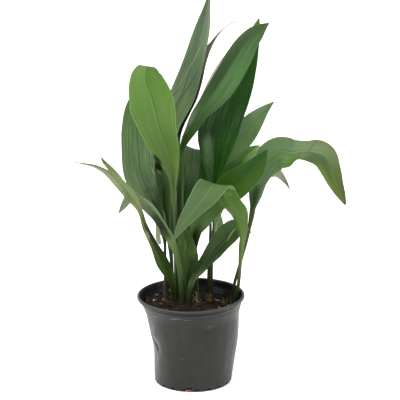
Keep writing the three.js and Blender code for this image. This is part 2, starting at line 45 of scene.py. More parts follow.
# Place, lens and sensor in mm, tilt in degrees up from straight down, farthest sight in metres.
camera = {"place": (14.7, -4000, 1534), "tilt": 74.01, "lens": 183.96, "sensor": 36, "sight": 60}
studio = {
    # Brightness of the sky overhead, at the sides, behind the camera, and as the camera sees it.
    "skyTop": 0.8, "skySides": 0.5, "skyFront": 0.12, "skySeen": 0.97, "skyColour": (1, 0.99, 0.96, 1),
    # Directions between which it grows dim behind the camera and bright overhead.
    "frontFade": (0.1, -0.85), "topFade": (0.15, 0.9),
    # Lamps: name, where it hangs, what it aims at, size in metres, power.
    "lamps": [
        ("sideLamp", (-2.6, -0.9, 1.6), (0, 0, 0.3), 1.3, 26),
        ("rightLamp", (2.6, -0.6, 1.2), (0.05, 0, 0.2), 1.1, 14),
        ("backLamp", (-0.6, 2.4, 2.6), (0, 0, 0.5), 1.8, 24),
    ],
    # Wide soft suns: name, direction that they come from, strength, angle in degrees.
    "suns": [("keySun", (-0.5, -0.6, 1.3), 1.9, 45), ("fillSun", (0.6, -0.9, 1.0), 0.5, 60)],
}


def addObject(name, data, place=(0, 0, 0), turn=(0, 0, 0)):
    made = bpy.data.objects.new(name, data)
    made.location, made.rotation_euler = place, turn
    scene.collection.objects.link(made)
    return made


def hangLamp(name, kind, place, aim, **settings):
    data = bpy.data.lights.new(name, kind)
    for key, value in settings.items():
        setattr(data, key, value)
    addObject(name, data, place, (Vector(aim) - Vector(place)).to_track_quat("-Z", "Y").to_euler())


cameraData = bpy.data.cameras.new("photoCamera")
cameraData.lens, cameraData.sensor_width, cameraData.clip_end = camera["lens"], camera["sensor"], camera["sight"]
cameraTurn = (math.radians(camera["tilt"]), 0, 0)
scene.camera = addObject("photoCamera", cameraData, Vector(camera["place"]) * mm, cameraTurn)
for name, place, aim, size, power in studio["lamps"]:
    hangLamp(name, "AREA", place, aim, size=size, energy=power)
for name, place, strength, spread in studio["suns"]:
    hangLamp(name, "SUN", place, (0, 0, 0), energy=strength, angle=math.radians(spread))
scene.view_settings.view_transform = "Standard"
print("camera and lamps placed")


def paint(red, green, blue):  # screen colour, 0 to 255, as a linear one
    return tuple(((c / 255 + 0.055) / 1.055) ** 2.4 if c > 10 else c / 3295 for c in (red, green, blue)) + (1,)


def feed(tree, node, inputs):  # gives each input its value, or links what makes it
    for socket, value in inputs.items():
        if isinstance(value, bpy.types.NodeSocket):
            tree.links.new(value, node.inputs[socket])
        else:
            node.inputs[socket].default_value = value


def put(tree, kind, inputs=None, **settings):  # one node with its settings, values and links
    made = tree.nodes.new("ShaderNode" + kind)
    for key, value in settings.items():
        setattr(made, key, value)
    feed(tree, made, inputs or {})
    return made.outputs


def calc(tree, operation, first, second=0.5, third=0.0):
    return put(tree, "Math", {0: first, 1: second, 2: third}, operation=operation)[0]


def times(tree, first, second):
    return calc(tree, "MULTIPLY", first, second)


def between(tree, share, first, second):
    return put(tree, "Mix", {0: share, 2: first, 3: second})[0]


def mixColour(tree, share, first, second, way="MIX"):
    return put(tree, "Mix", {0: share, 6: first, 7: second}, data_type="RGBA", blend_type=way)[2]


def tinted(tree, colour, mask, tint, strength=1):  # towards a screen colour where the mask is
    return mixColour(tree, mask if strength == 1 else times(tree, mask, strength), colour, paint(*tint))


def shaded(tree, colour, shade):  # colour times a grey
    grey = put(tree, "CombineColor", {0: shade, 1: shade, 2: shade})[0]
    return mixColour(tree, 1.0, colour, grey, "MULTIPLY")


def fade(tree, value, low, high, toLow=0.0, toHigh=1.0):  # smooth step from low to high
    inputs = {"Value": value, "From Min": low, "From Max": high, "To Min": toLow, "To Max": toHigh}
    return put(tree, "MapRange", inputs, interpolation_type="SMOOTHSTEP")[0]


def band(tree, value, rise, fall):  # 1 between a rise and a fall, each from 0 to 1
    return times(tree, fade(tree, value, *rise), fade(tree, value, *fall))


def cloudy(tree, spot, scale, detail=2, roughness=0.5):
    return put(tree, "TexNoise", {"Vector": spot, "Scale": scale, "Detail": detail, "Roughness": roughness})[0]


def ramp(tree, value, stops):  # stops: place and screen colour
    made = tree.nodes.new("ShaderNodeValToRGB")
    feed(tree, made, {"Fac": value})
    made.color_ramp.interpolation = "EASE"
    elements = made.color_ramp.elements
    while len(elements) < len(stops):
        elements.new(0.5)
    for element, (place, *colour) in zip(elements, stops):
        element.position = place
        element.color = paint(*colour)
    return made.outputs["Color"]


def newGroup(name, inputs, *outputs):  # inputs are values to start from, or None for a vector
    group = bpy.data.node_groups.new(name, "ShaderNodeTree")
    for socket, start in inputs.items():
        kind = "NodeSocketVector" if start is None else "NodeSocketFloat"
        made = group.interface.new_socket(name=socket, in_out="INPUT", socket_type=kind)
        if start is not None:
            made.default_value = start
    for socket in outputs:
        group.interface.new_socket(name=socket, in_out="OUTPUT", socket_type="NodeSocketFloat")
    return group, group.nodes.new("NodeGroupInput").outputs, group.nodes.new("NodeGroupOutput")


def useGroup(tree, group, **inputs):
    return put(tree, "Group", inputs, node_tree=group)


# The sky is bright above and at the sides and dim behind the camera, like a studio with two
# soft boxes. The camera itself sees it plain.
world = bpy.data.worlds.new("studioSky")
world.use_nodes = True
scene.world = world
sky = world.node_tree
heading = put(sky, "SeparateXYZ", {0: put(sky, "TexCoord")["Generated"]})
inFront = fade(sky, heading["Y"], *studio["frontFade"])
upward = fade(sky, heading["Z"], *studio["topFade"])
level = calc(sky, "MULTIPLY_ADD", inFront, studio["skyFront"] - studio["skySides"], studio["skySides"])
lit = between(sky, upward, level, studio["skyTop"])
lit = between(sky, put(sky, "LightPath")["Is Camera Ray"], lit, studio["skySeen"])
feed(sky, sky.nodes["Background"], {"Strength": lit, "Color": studio["skyColour"]})

# Long streaks, glints and fine parallel veins that run with a leaf. Place is across, along, face.
leafVeins, given, result = newGroup(
    "leafVeins", {"Place": None, "Count": 18.0, "Seed": 0.0}, "Lines", "Streaks", "Glints", "Height")
parts = put(leafVeins, "SeparateXYZ", {0: given["Place"]})


def stretched(across, along, seed, detail, roughness):  # noise drawn out by a count across and along
    spot = {0: times(leafVeins, parts["X"], across), 1: times(leafVeins, parts["Y"], along), 2: seed}
    return cloudy(leafVeins, put(leafVeins, "CombineXYZ", spot)[0], 1, detail, roughness)


wave = calc(leafVeins, "COSINE", times(leafVeins, times(leafVeins, parts["X"], given["Count"]), 2 * math.pi))
lines = calc(leafVeins, "POWER", calc(leafVeins, "MULTIPLY_ADD", wave, 0.5, 0.5), 4)
streaks = stretched(7, 2.4, given["Seed"], 4, 0.62)
hairs = stretched(34, 5, given["Seed"], 2, 0.5)
patches = stretched(3, 7, calc(leafVeins, "ADD", given["Seed"], 9.0), 3, 0.5)
feed(leafVeins, result, {
    "Lines": lines,
    "Streaks": calc(leafVeins, "MULTIPLY_ADD", hairs, 0.45, times(leafVeins, streaks, 0.55)),
    "Glints": times(leafVeins, fade(leafVeins, hairs, 0.5, 0.66), fade(leafVeins, patches, 0.42, 0.62, 0.15, 1)),
    "Height": calc(leafVeins, "MULTIPLY_ADD", lines, 0.35, hairs),
})

# A soft-edged spot or slanted line on a surface, its edge drawn out with the streaks.
softSpot, given, result = newGroup(
    "softSpot", {"Place": None, "Middle": None, "Sharpness": None, "Slant": 0.0, "Streaks": 0.5}, "Mask")
away = put(softSpot, "VectorMath", {0: given["Place"], 1: given["Middle"]}, operation="SUBTRACT")[0]
steps = put(softSpot, "SeparateXYZ", {0: away})
slid = times(softSpot, steps["X"], given["Slant"])
away = put(softSpot, "CombineXYZ", {0: steps["X"], 1: calc(softSpot, "SUBTRACT", steps["Y"], slid)})[0]
away = put(softSpot, "VectorMath", {0: away, 1: given["Sharpness"]}, operation="MULTIPLY")[0]
away = put(softSpot, "VectorMath", {0: away}, operation="LENGTH")["Value"]
away = calc(softSpot, "ADD", away, calc(softSpot, "MULTIPLY_ADD", given["Streaks"], -0.7, 0.35))
feed(softSpot, result, {"Mask": fade(softSpot, away, 1.1, 0.45)})

# Soft blotches anywhere on a surface.
blotches, given, result = newGroup("blotches", {"Vector": None, "Scale": 20.0, "Low": 0.45, "High": 0.65}, "Mask")
cloud = cloudy(blotches, given["Vector"], given["Scale"], 5, 0.6)
feed(blotches, result, {"Mask": fade(blotches, cloud, given["Low"], given["High"])})

# Fine grit: small specks and a rough height.
grit, given, result = newGroup("grit", {"Vector": None, "Scale": 300.0, "Share": 0.1}, "Specks", "Height")
cells = put(grit, "TexVoronoi", {"Vector": given["Vector"], "Scale": given["Scale"]})
picked = calc(grit, "LESS_THAN", put(grit, "SeparateColor", {0: cells["Color"]})[0], given["Share"])
feed(grit, result, {
    "Specks": times(grit, fade(grit, cells["Distance"], 0.45, 0.2), picked),
    "Height": cloudy(grit, given["Vector"], given["Scale"], 6, 0.7),
})


def blotched(tree, spot, scale, low, high, tall=1):  # "tall" below 1 draws the blotches out upwards
    if tall != 1:
        spot = put(tree, "Mapping", {"Vector": spot, "Scale": (1, 1, tall)})[0]
    return useGroup(tree, blotches, Vector=spot, Scale=scale, Low=low, High=high)["Mask"]


# Spots: place across and along, reach across and along, slant, screen colour, strength. Besides real marks they
# paint shadows and highlights.
def paintSpotsLightAndShade(tree, colour, place, streaks, spotsAndPaintedLight):
    for x, y, wide, tall, slant, tint, strength in spotsAndPaintedLight:
        mask = useGroup(tree, softSpot, Place=place, Middle=(x, y, 0), Sharpness=(1 / wide, 1 / tall, 0),
                        Slant=slant, Streaks=streaks)["Mask"]
        colour = tinted(tree, colour, mask, tint, strength)
    return colour


def newMaterial(name):
    made = bpy.data.materials.new(name)
    made.use_nodes = True
    return made, made.node_tree, made.node_tree.nodes["Principled BSDF"]


def finishMaterial(tree, shader, colour, roughness, specular, height, strength, depth):
    relief = put(tree, "Bump", {"Strength": strength, "Distance": depth, "Height": height})[0]
    feed(tree, shader, {
        "Base Color": colour, "Roughness": roughness, "Specular IOR Level": specular, "Normal": relief,
    })


def newMesh(name, points, faces, scale=mm):
    mesh = bpy.data.meshes.new(name)
    mesh.from_pydata([Vector(p) * scale for p in points], [], faces)
    return mesh


def vectorField(mesh, name, values):  # one vector at each point of a mesh
    mesh.attributes.new(name, "FLOAT_VECTOR", "POINT").data.foreach_set("vector", np.asarray(values, float).ravel())


def bandFaces(sides, bands, count):  # quads from each ring of points to the next, round again past count
    faces = []
    for ring in range(bands):
        for k in range(sides):
            a, b = ring * sides + k, ring * sides + (k + 1) % sides
            faces.append((a, b, (b + sides) % count, (a + sides) % count))
    return faces


def turnedFaces(sides, rings):  # rings of points between a first and a last point on the axis
    faces = []
    last = 1 + (rings - 1) * sides
    for side in range(sides):
        after = (side + 1) % sides
        faces.append((0, 1 + after, 1 + side))
        for first in range(1, last, sides):
            faces.append((first + side, first + after, first + after + sides, first + side + sides))
        faces.append((last + side, last + after, last + sides))
    return faces


def finalMesh(piece):  # the piece's mesh with its modifiers applied
    made = bpy.data.meshes.new_from_object(piece.evaluated_get(bpy.context.evaluated_depsgraph_get()))
    made.name = piece.name
    bpy.data.objects.remove(piece)
    return made


def showPiece(name, mesh, material, slotName, *nodes, smooth=True):
    piece = addObject(name, mesh)
    mesh.materials.append(material)
    for face in mesh.polygons:
        face.use_smooth = smooth
    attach(piece, "root")
    if nodes:
        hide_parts(*nodes)


# One dictionary for each leaf. "rows" run from foot to tip: x, y, z and half width in mm, and a roll in
# degrees where there is one. Without a roll the leaf faces the viewer. "fold" is how far each half is
# folded up. "left" and "right" are the colours from foot to tip on either side of the midrib, with painted
# light and shade in them: darker at the foot, near black where other leaves shade it, lighter where a half
# faces the light. "count" is how many fine veins lie on each half, "streak" and "glint" are how strong its
# streaks and its painted glints are. Its spots are real marks, painted shadows and painted highlights.
leaves = {
    "brightLeft": {
        "node": "leaf_bright_left", "slot": "leaf_bright", "fold": 18, "tipFold": 2, "ripples": 3, "phase": 0.1,
        "count": 17, "streak": 0.14, "glint": 0.1, "midrib": (58, 86, 38), "margin": (120, 150, 78),
        "rows": [(-32, 22, 146, 3.3), (-34, 8, 253, 3.2), (-36, -14, 356, 3.3, -6), (-37.6, -26, 412, 7, -12),
            (-38.5, -34, 456, 15, -15), (-49, -42, 504, 32.5, -16), (-65.6, -48, 557, 43.8, -18),
            (-78.5, -50, 610, 48.8, -14), (-90.3, -46, 642, 38.2, -6), (-92.5, -40, 658, 30),
            (-91.2, -32, 668, 22, 4), (-89.7, -22, 670.5, 15.5, 6), (-90, -10, 663, 9, 6),
            (-89, -4, 647, 1, 4)],
        "left": [(0.05, 38, 57, 20), (0.35, 71, 89, 54), (0.52, 76, 101, 48), (0.66, 78, 108, 49),
            (0.82, 84, 118, 53), (0.9, 88, 120, 59), (1, 86, 116, 60)],
        "right": [(0.05, 38, 57, 20), (0.35, 57, 75, 42), (0.52, 82, 107, 52), (0.66, 72, 101, 41),
            (0.82, 77, 110, 42), (0.9, 71, 104, 39), (1, 64, 99, 42)],
        "spotsAndPaintedLight": [(-1, 0.605, 0.3, 0.03, 0, (8, 20, 4), 0.95), (1, 0.585, 0.1, 0.014, 0, (116, 138, 50), 0.6)],
    },
    "broadLeft": {
        "node": "leaf_broad_left", "slot": "leaf_blue", "fold": 20, "ripples": 3, "phase": 0.4, "count": 16,
        "streak": 0.34, "glint": 0.5, "midrib": (52, 80, 52), "margin": (112, 112, 84),
        "rows": [(-57, 48, 141, 3.6), (-58, 44, 241, 3.3), (-59, 42, 294, 4.5), (-70, 40, 338, 15),
            (-90, 39, 388, 31), (-106, 37.5, 437, 37), (-111, 35.5, 488, 36.3), (-111, 32, 537, 34.8),
            (-106, 32, 581, 28.8), (-97, 34, 614, 14), (-90, 36, 634, 1.2)],
        "left": [(0.1, 50, 52, 36), (0.35, 46, 64, 30), (0.55, 88, 112, 76), (0.8, 90, 120, 72),
            (1, 88, 116, 58)],
        # From 0.38 to 0.45 the right half is painted near black: a painted shadow cast by another leaf.
        "right": [(0.1, 50, 54, 36), (0.38, 6, 24, 3), (0.45, 22, 40, 8), (0.54, 64, 86, 52),
            (0.67, 82, 110, 70), (0.85, 72, 106, 60)],
        "spotsAndPaintedLight": [(0.715, 0.6, 0.06, 0.012, -0.444, (160, 168, 130), 0.8),
            (0.85, 0.5, 0.5, 0.05, 0, (30, 44, 14), 0.6), (0.2, 0.52, 0.5, 0.02, 0, (50, 68, 40), 0.5)],
    },
    "hangingLeft": {
        "node": "leaf_hanging_left", "slot": "leaf_pale", "fold": 18, "ripples": 2, "phase": 0.7, "count": 12,
        "streak": 0.15, "glint": 0.1, "midrib": (96, 110, 84), "margin": (140, 140, 118),
        "rows": [(-46, 62, 134, 3.1), (-47, 74, 247, 3.1), (-62, 84, 331, 6, 10), (-85, 92, 405, 16.5, 20),
            (-105, 90, 440, 18.5, 20), (-120, 84, 437, 17.5), (-127, 74, 410, 16.5), (-135, 68, 376, 14.5),
            (-145, 64, 357.5, 9.5), (-154.5, 60, 341.5, 1)],
        "left": [(0.3, 70, 98, 63), (0.7, 138, 168, 121), (1, 148, 158, 125)],
        "right": [(0.3, 70, 98, 63), (0.7, 144, 180, 121), (1, 146, 152, 121)],
    },
    "hangingBack": {
        "node": "leaf_hanging_back", "slot": "leaf_pale", "fold": 16, "ripples": 2, "phase": 0.2, "count": 12,
        "streak": 0.12, "glint": 0.1, "midrib": (120, 142, 100), "margin": (160, 178, 140),
        "rows": [(-37, 78, 131, 3.2), (-38, 88, 243, 3.1), (-44, 96, 328, 5), (-55, 104, 390, 12.5),
            (-66, 108, 430, 20), (-74, 118, 445, 21), (-75, 130, 420, 20), (-68, 132, 350, 17.5),
            (-68.5, 129, 315, 14.5), (-70, 126, 288, 10.8), (-70.5, 124, 268, 10), (-68, 123, 256, 5)],
        "left": [(0.3, 59, 82, 46), (0.7, 149, 176, 126), (1, 181, 200, 158)],
        "right": [(0.3, 59, 82, 46), (0.7, 147, 174, 124), (1, 177, 196, 152)],
    },
    "tallest": {
        "node": "leaf_tallest", "slot": "leaf_grey", "fold": 20, "ripples": 4, "phase": 0.3, "count": 13,
        "streak": 0.3, "glint": 0.4, "midrib": (74, 98, 68), "margin": (116, 130, 98),
        "rightMargin": (168, 170, 148),
        "rows": [(-40, 38, 142, 3.5), (-44, 34, 244, 3.5), (-48, 30, 319, 5, 5), (-55, 28, 369, 12.5, 8),
            (-60, 27, 418, 19.5, 10), (-60, 26, 478, 22.5, 10), (-51, 25, 540, 25.5, 10),
            (-21, 22, 607, 27.5, 8), (3.4, 16, 684, 21.2, 6), (19.6, 8, 744, 16, 4), (29.5, 2, 791, 6.4, 2),
            (36, -4, 824, 1)],
        "left": [(0.1, 34, 49, 21), (0.3, 46, 67, 27), (0.48, 62, 85, 43), (0.62, 134, 156, 121),
            (0.8, 98, 121, 89), (1, 76, 95, 69)],
        "right": [(0.1, 34, 49, 21), (0.35, 44, 67, 27), (0.55, 108, 135, 89), (0.75, 96, 119, 86),
            (1, 102, 114, 100)],
        # The near-black spots are painted shadow.
        "spotsAndPaintedLight": [(-0.5, 0.447, 0.7, 0.018, 0, (6, 18, 3), 0.95),
            (-0.5, 0.43, 0.36, 0.004, -0.033, (136, 146, 104), 0.8),
            (-0.35, 0.337, 0.6, 0.016, 0.085, (6, 20, 3), 0.9),
            (-0.1, 0.755, 0.65, 0.012, 0.152, (150, 164, 136), 0.7),
            (0.3, 0.7, 0.5, 0.014, 0.152, (66, 88, 60), 0.5),
            (-0.6, 0.66, 0.3, 0.012, 0.12, (66, 88, 60), 0.5)],
    },
    "threadTip": {
        "node": "leaf_thread_tip", "slot": "leaf_deep", "fold": 16, "ripples": 3, "phase": 0.5, "count": 12,
        "streak": 0.15, "glint": 0.1, "midrib": (20, 38, 14), "margin": (60, 70, 44),
        "rows": [(-30, 60, 137, 3.4), (-32, 60, 236, 3.3), (-33, 62, 323, 4.1), (-34, 64, 380, 8.5),
            (-40, 66, 450, 15.5), (-38, 70, 513, 15.5), (-17, 71, 563, 15.5), (-5, 72, 587, 15),
            (4, 72, 615, 14.5), (14, 70, 654, 13), (24.7, 66, 678, 8.7), (35.5, 62, 696, 4.8),
            (52, 58, 720, 1.8), (68, 54, 736, 0.8), (88, 50, 748, 0.8)],
        # The near-black stretch from 0.58 to 0.7 is painted shadow.
        "left": [(0.3, 58, 97, 36), (0.46, 86, 118, 64), (0.54, 88, 118, 62), (0.58, 6, 18, 4), (0.7, 8, 20, 5),
            (0.76, 46, 56, 38), (0.84, 96, 98, 86), (1, 158, 148, 142)],
    },
    "upperRight": {
        "node": "leaf_upper_right", "slot": "leaf_mid", "fold": 20, "ripples": 3, "phase": 0.8, "count": 14,
        "streak": 0.16, "glint": 0.15, "midrib": (48, 78, 40), "margin": (142, 142, 116),
        "rightMargin": (74, 106, 60),
        "rows": [(-19, 14, 149, 3.5), (-19, 6, 253, 3.5), (-22, -4, 357, 4.3, 4), (-22.5, -10, 443, 4.8, 8),
            (-24, -14, 494, 6.5, 12), (-17, -16, 521, 13, 14), (-5, -19, 546, 16.5, 18),
            (10.5, -24, 577, 21.5, 22), (32.7, -30, 607, 29.3, 22), (59.5, -38, 649, 33.5, 20),
            (84, -48, 692, 32.3, 18), (108, -60, 733, 24, 15), (130, -70, 756, 15.5, 10),
            (149, -78, 769, 1, 5)],
        "left": [(0.1, 31, 48, 13), (0.4, 39, 60, 17), (0.54, 42, 64, 16), (0.61, 90, 110, 82),
            (0.68, 44, 74, 35), (0.76, 32, 61, 23), (1, 51, 78, 39)],
        "right": [(0.1, 35, 52, 17), (0.45, 53, 76, 33), (0.6, 53, 86, 37), (0.78, 72, 108, 60),
            (1, 55, 84, 45)],
        "spotsAndPaintedLight": [(0.5, 0.575, 0.3, 0.014, 0, (56, 92, 10), 0.9),
            (0.45, 0.553, 0.25, 0.014, 0, (58, 88, 16), 0.8), (-0.9, 0.36, 0.6, 0.09, 0, (10, 24, 5), 0.85),
            (0.28, 0.36, 0.15, 0.07, 0, (100, 122, 84), 0.5),
            (-0.9, 0.785, 0.08, 0.065, 0, (176, 172, 148), 0.8),
            (-0.76, 0.79, 0.06, 0.05, 0, (34, 54, 28), 0.5), (-0.5, 0.58, 0.3, 0.03, 0, (78, 74, 62), 0.6)],
    },
    "bentCentre": {
        "node": "leaf_bent_centre", "slot": "leaf_dark", "fold": 12, "tipFold": 4, "ripples": 2, "phase": 0.6,
        "count": 12, "streak": 0.4, "glint": 0.4, "midrib": (40, 58, 38), "margin": (96, 98, 88),
        "rows": [(-12, 42, 141, 3.3), (-16, 38, 243, 4), (-16, 32, 331, 15), (-16, 26, 380, 17),
            (-9, 20, 429, 21.5, 3), (-1, 18, 468, 22, 1), (1, 28, 488, 21.5, -2), (5, 50, 472, 20, -2),
            (14, 76, 428, 17), (30, 94, 370, 14.5), (46, 100, 330, 13), (52.5, 103, 307, 12.3),
            (54.5, 104, 292, 9.5), (55, 104, 282, 1.3)],
        "left": [(0.2, 11, 35, 3), (0.44, 15, 46, 3), (0.54, 61, 89, 47), (0.62, 79, 97, 69),
            (1, 107, 133, 87)],
        "right": [(0.2, 11, 35, 3), (0.44, 19, 54, 8), (0.54, 55, 83, 45), (0.62, 79, 95, 71),
            (1, 109, 135, 89)],
        "spotsAndPaintedLight": [(0.1, 0.55, 0.4, 0.025, 0, (80, 80, 66), 0.6), (-0.6, 0.5, 0.25, 0.04, 0, (20, 38, 16), 0.6)],
    },
    "innerDark": {
        "node": "leaf_inner_dark", "slot": "leaf_deep", "fold": 20, "ripples": 2, "phase": 0.9, "count": 11,
        "streak": 0.2, "glint": 0.2, "midrib": (20, 38, 16), "margin": (44, 66, 34),
        "rows": [(-5, 32, 145, 3.3), (-2, 26, 247, 3.3), (9, 12, 316, 10.5), (21, -2, 378, 16.5),
            (27, -8, 422, 17), (24, -10, 454, 12), (18, -12, 481, 1.2)],
        # Painted shade: this leaf deep among the others is coloured dark green to near black.
        "left": [(0.3, 33, 57, 15), (0.7, 21, 53, 5), (1, 15, 45, 3)],
        "right": [(0.3, 43, 65, 23), (0.7, 19, 55, 3), (1, 33, 73, 13)],
    },
    "broadRight": {
        "node": "leaf_broad_right", "slot": "leaf_deep", "fold": 20, "ripples": 4, "phase": 0.2, "count": 17,
        "streak": 0.34, "glint": 0.4, "midrib": (26, 54, 18), "margin": (58, 92, 44),
        "rows": [(32, 24, 143, 3.5), (33.3, 24, 235, 3.6), (36, 22, 300, 3.1), (37, 20, 365, 3.3, 5),
            (41, 20, 416, 8.5, 8), (43, 20, 467, 29.5, 10), (47, 20, 521, 43.5, 10), (65.5, 18, 580, 43.5, 8),
            (88, 14, 630, 36.5, 8), (107, 10, 676, 24, 6), (119, 4, 714, 15, 4), (126.2, -2, 744, 9, 2),
            (132, -6, 765, 0.8)],
        "left": [(0.1, 23, 36, 3), (0.42, 52, 80, 30), (0.5, 72, 101, 56), (0.55, 52, 82, 36), (0.6, 8, 42, 3),
            (0.64, 13, 47, 3), (0.93, 19, 54, 3), (1, 99, 116, 21)],
        "right": [(0.1, 29, 44, 9), (0.42, 44, 90, 15), (0.55, 24, 69, 3), (0.66, 18, 57, 3), (0.93, 25, 62, 3),
            (1, 99, 116, 21)],
        "spotsAndPaintedLight": [(-0.4, 0.55, 0.3, 0.05, 0, (80, 108, 76), 0.8), (-0.95, 0.58, 0.2, 0.08, 0, (14, 36, 8), 0.8),
            (0.13, 0.59, 0.05, 0.07, 0, (22, 50, 14), 0.6)],
    },
    "backRight": {
        "node": "leaf_back_right", "slot": "leaf_mid", "fold": 20, "ripples": 3, "phase": 0.1, "count": 14,
        "streak": 0.22, "glint": 0.2, "midrib": (100, 132, 82), "margin": (100, 124, 78),
        "rows": [(39, 38, 140, 3.3), (38.8, 40, 229, 3.1), (42, 44, 293, 2.9), (44, 48, 357, 3.1),
            (48, 54, 414, 8.5, 4), (58, 60, 455, 19.5, 6), (75, 64, 481, 28, 8), (99, 70, 506.5, 29.2, 8),
            (123.4, 77, 533, 21.8, 6), (146.2, 86, 555, 11, 4), (167, 92, 572, 0.8)],
        "left": [(0.1, 41, 47, 34), (0.5, 61, 91, 50), (0.85, 88, 118, 76), (0.92, 104, 128, 94),
            (1, 108, 126, 98)],
        "right": [(0.1, 47, 53, 38), (0.6, 89, 127, 70), (0.85, 99, 129, 82), (1, 85, 109, 72)],
        "spotsAndPaintedLight": [(-0.9, 0.87, 0.3, 0.03, 0, (84, 90, 76), 0.6)],
    },
    "farRight": {
        "node": "leaf_far_right", "slot": "leaf_olive", "fold": 18, "ripples": 2, "phase": 0.5, "count": 12,
        "streak": 0.14, "glint": 0.1, "midrib": (84, 104, 58), "margin": (120, 134, 96),
        "rows": [(36, 62, 136, 3.1), (38, 66, 221, 3.1), (41, 70, 281, 3.1), (47, 76, 314, 5.5),
            (60, 80, 352, 8.5), (83, 86, 383, 13.5, 5), (116, 92, 409, 18.5, 10), (147, 90, 427, 19.5, 20),
            (175, 84, 427, 15.5, 30), (192, 78, 407, 7, 35), (201, 74, 390, 1, 35)],
        "left": [(0.2, 76, 91, 67), (0.45, 126, 143, 107), (0.9, 164, 173, 141), (1, 114, 105, 101)],
        "right": [(0.2, 76, 91, 67), (0.42, 160, 179, 145), (0.6, 136, 159, 111), (0.9, 160, 175, 141),
            (1, 114, 105, 101)],
    },
    "droopingRight": {
        "node": "leaf_drooping_right", "slot": "leaf_mid", "fold": 16, "ripples": 4, "phase": 0.3, "count": 15,
        "streak": 0.18, "glint": 0.15, "midrib": (74, 104, 62), "margin": (118, 118, 84),
        "rows": [(77, 36, 134, 3.5), (86, 32, 197, 3.3), (99, 27, 249, 3.3), (110, 24, 295, 4.2),
            (118.8, 22, 337, 5, -4), (123.5, 20, 366, 9, -8), (128.5, 19, 392, 16.3, -10),
            (137.3, 18, 429, 19.8, -12), (155, 16, 467, 32.5, -18), (175, 13, 482, 34, -28),
            (202, 2, 482.5, 33, -46), (222, -9, 490, 28.3, -68), (245, -24, 493, 27.5, -60),
            (265, -36, 487.5, 26.5, -42), (277, -43, 466, 22, -30), (286.5, -47, 442, 18.5, -22),
            (296.5, -50, 420, 13.5, -14), (307.3, -52, 393, 2.5, -10)],
        "left": [(0.1, 53, 52, 40), (0.36, 54, 57, 33), (0.45, 45, 72, 38), (0.64, 97, 128, 84),
            (0.77, 104, 124, 84), (0.9, 72, 90, 44), (1, 66, 82, 38)],
        "right": [(0.1, 53, 52, 40), (0.36, 84, 86, 62), (0.46, 88, 111, 80), (0.62, 77, 108, 62),
            (0.7, 84, 116, 58), (0.78, 66, 87, 48), (1, 80, 98, 38)],
        "spotsAndPaintedLight": [(0.3, 0.56, 0.5, 0.035, 0, (86, 112, 90), 0.4),
            (0.9, 0.87, 0.4, 0.08, 0, (104, 120, 38), 0.5), (-0.9, 0.79, 0.25, 0.04, 0, (110, 98, 74), 0.6),
            (-0.1, 0.752, 1, 0.004, -0.022, (54, 74, 38), 0.5), (0.1, 0.45, 0.45, 0.05, 0, (24, 40, 20), 0.6),
            (0.95, 0.465, 0.25, 0.05, 0, (132, 142, 114), 0.6)],
    },
    "foldedRight": {
        "node": "leaf_folded_right", "slot": "leaf_mid", "fold": 20, "ripples": 3, "phase": 0.6, "count": 14,
        "streak": 0.14, "glint": 0.1, "midrib": (44, 76, 28), "margin": (96, 128, 72),
        "rows": [(-4, 10, 150, 3.5), (-2, 9, 224, 3.5), (-0.5, 4, 284, 4.5), (1, -4, 314, 12.5),
            (16.5, -15, 354, 23), (49.5, -24, 400, 27.8), (87, -32, 435.5, 33.5), (117, -38, 462, 28),
            (136, -44, 487, 14.5), (149, -48, 507, 1)],
        "left": [(0.1, 36, 53, 19), (0.45, 77, 108, 56), (0.72, 52, 96, 15), (0.88, 26, 70, 3), (1, 30, 66, 8)],
        "right": [(0.1, 36, 53, 19), (0.4, 24, 48, 6), (0.5, 74, 94, 56), (0.6, 56, 81, 31), (0.7, 68, 100, 36),
            (0.78, 58, 94, 27), (1, 40, 74, 20)],
    },
    "behindFold": {
        "node": "leaf_behind_fold", "slot": "leaf_mid", "fold": 22, "ripples": 2, "phase": 0.4, "count": 12,
        "streak": 0.16, "glint": 0.15, "midrib": (56, 92, 38), "margin": (124, 150, 96),
        "rows": [(4, 24, 147, 3.1), (8, 26, 247, 3.1), (6, 32, 301, 4.5), (30, 38, 357, 18),
            (62, 38, 412, 22, 5), (90, 28, 454, 20.5, 8), (114, 14, 484, 16, 8), (126, 7, 496, 9, 8),
            (136, 3, 501.5, 1.2, 5)],
        "left": [(0.3, 41, 59, 21), (0.8, 38, 86, 8), (0.9, 74, 112, 46), (1, 91, 133, 61)],
        "right": [(0.3, 51, 71, 31), (0.82, 56, 104, 26), (0.92, 124, 159, 92), (1, 141, 173, 103)],
        "spotsAndPaintedLight": [(0.5, 0.95, 0.4, 0.025, 0, (120, 152, 88), 0.6)],
    },
    "frontArch": {
        "node": "leaf_front_arch", "slot": "leaf_mid", "fold": -7, "ripples": 4, "phase": 0.7, "count": 17,
        "streak": 0.12, "glint": 0.15, "midrib": (92, 122, 62), "margin": (136, 164, 110),
        "rightMargin": (112, 140, 84),
        "rows": [(84, 8, 140, 3.5), (91.5, 1, 186, 3.3), (95, -8, 223, 3.5), (97, -18, 261, 4, -3),
            (98.5, -27, 294, 6.5, -10), (99, -34, 316, 10.5, -18), (96, -43, 341, 15.7, -24),
            (88.9, -52, 366, 23.8, -27), (79.7, -60, 387, 30.6, -32), (69, -70, 409, 34.5, -35),
            (54, -82, 433, 37.5, -37), (45, -95, 447, 37.5, -37), (36, -107, 441, 37, -36),
            (24, -117, 426, 33.5, -34), (5, -125, 405, 28, -31), (-12, -131, 385, 21, -28),
            (-25, -135, 366, 12, -25), (-39, -138, 341, 1, -25)],
        "left": [(0.05, 19, 32, 3), (0.25, 75, 92, 47), (0.4, 82, 109, 47), (0.56, 58, 88, 32),
            (0.75, 29, 63, 21), (1, 25, 50, 19)],
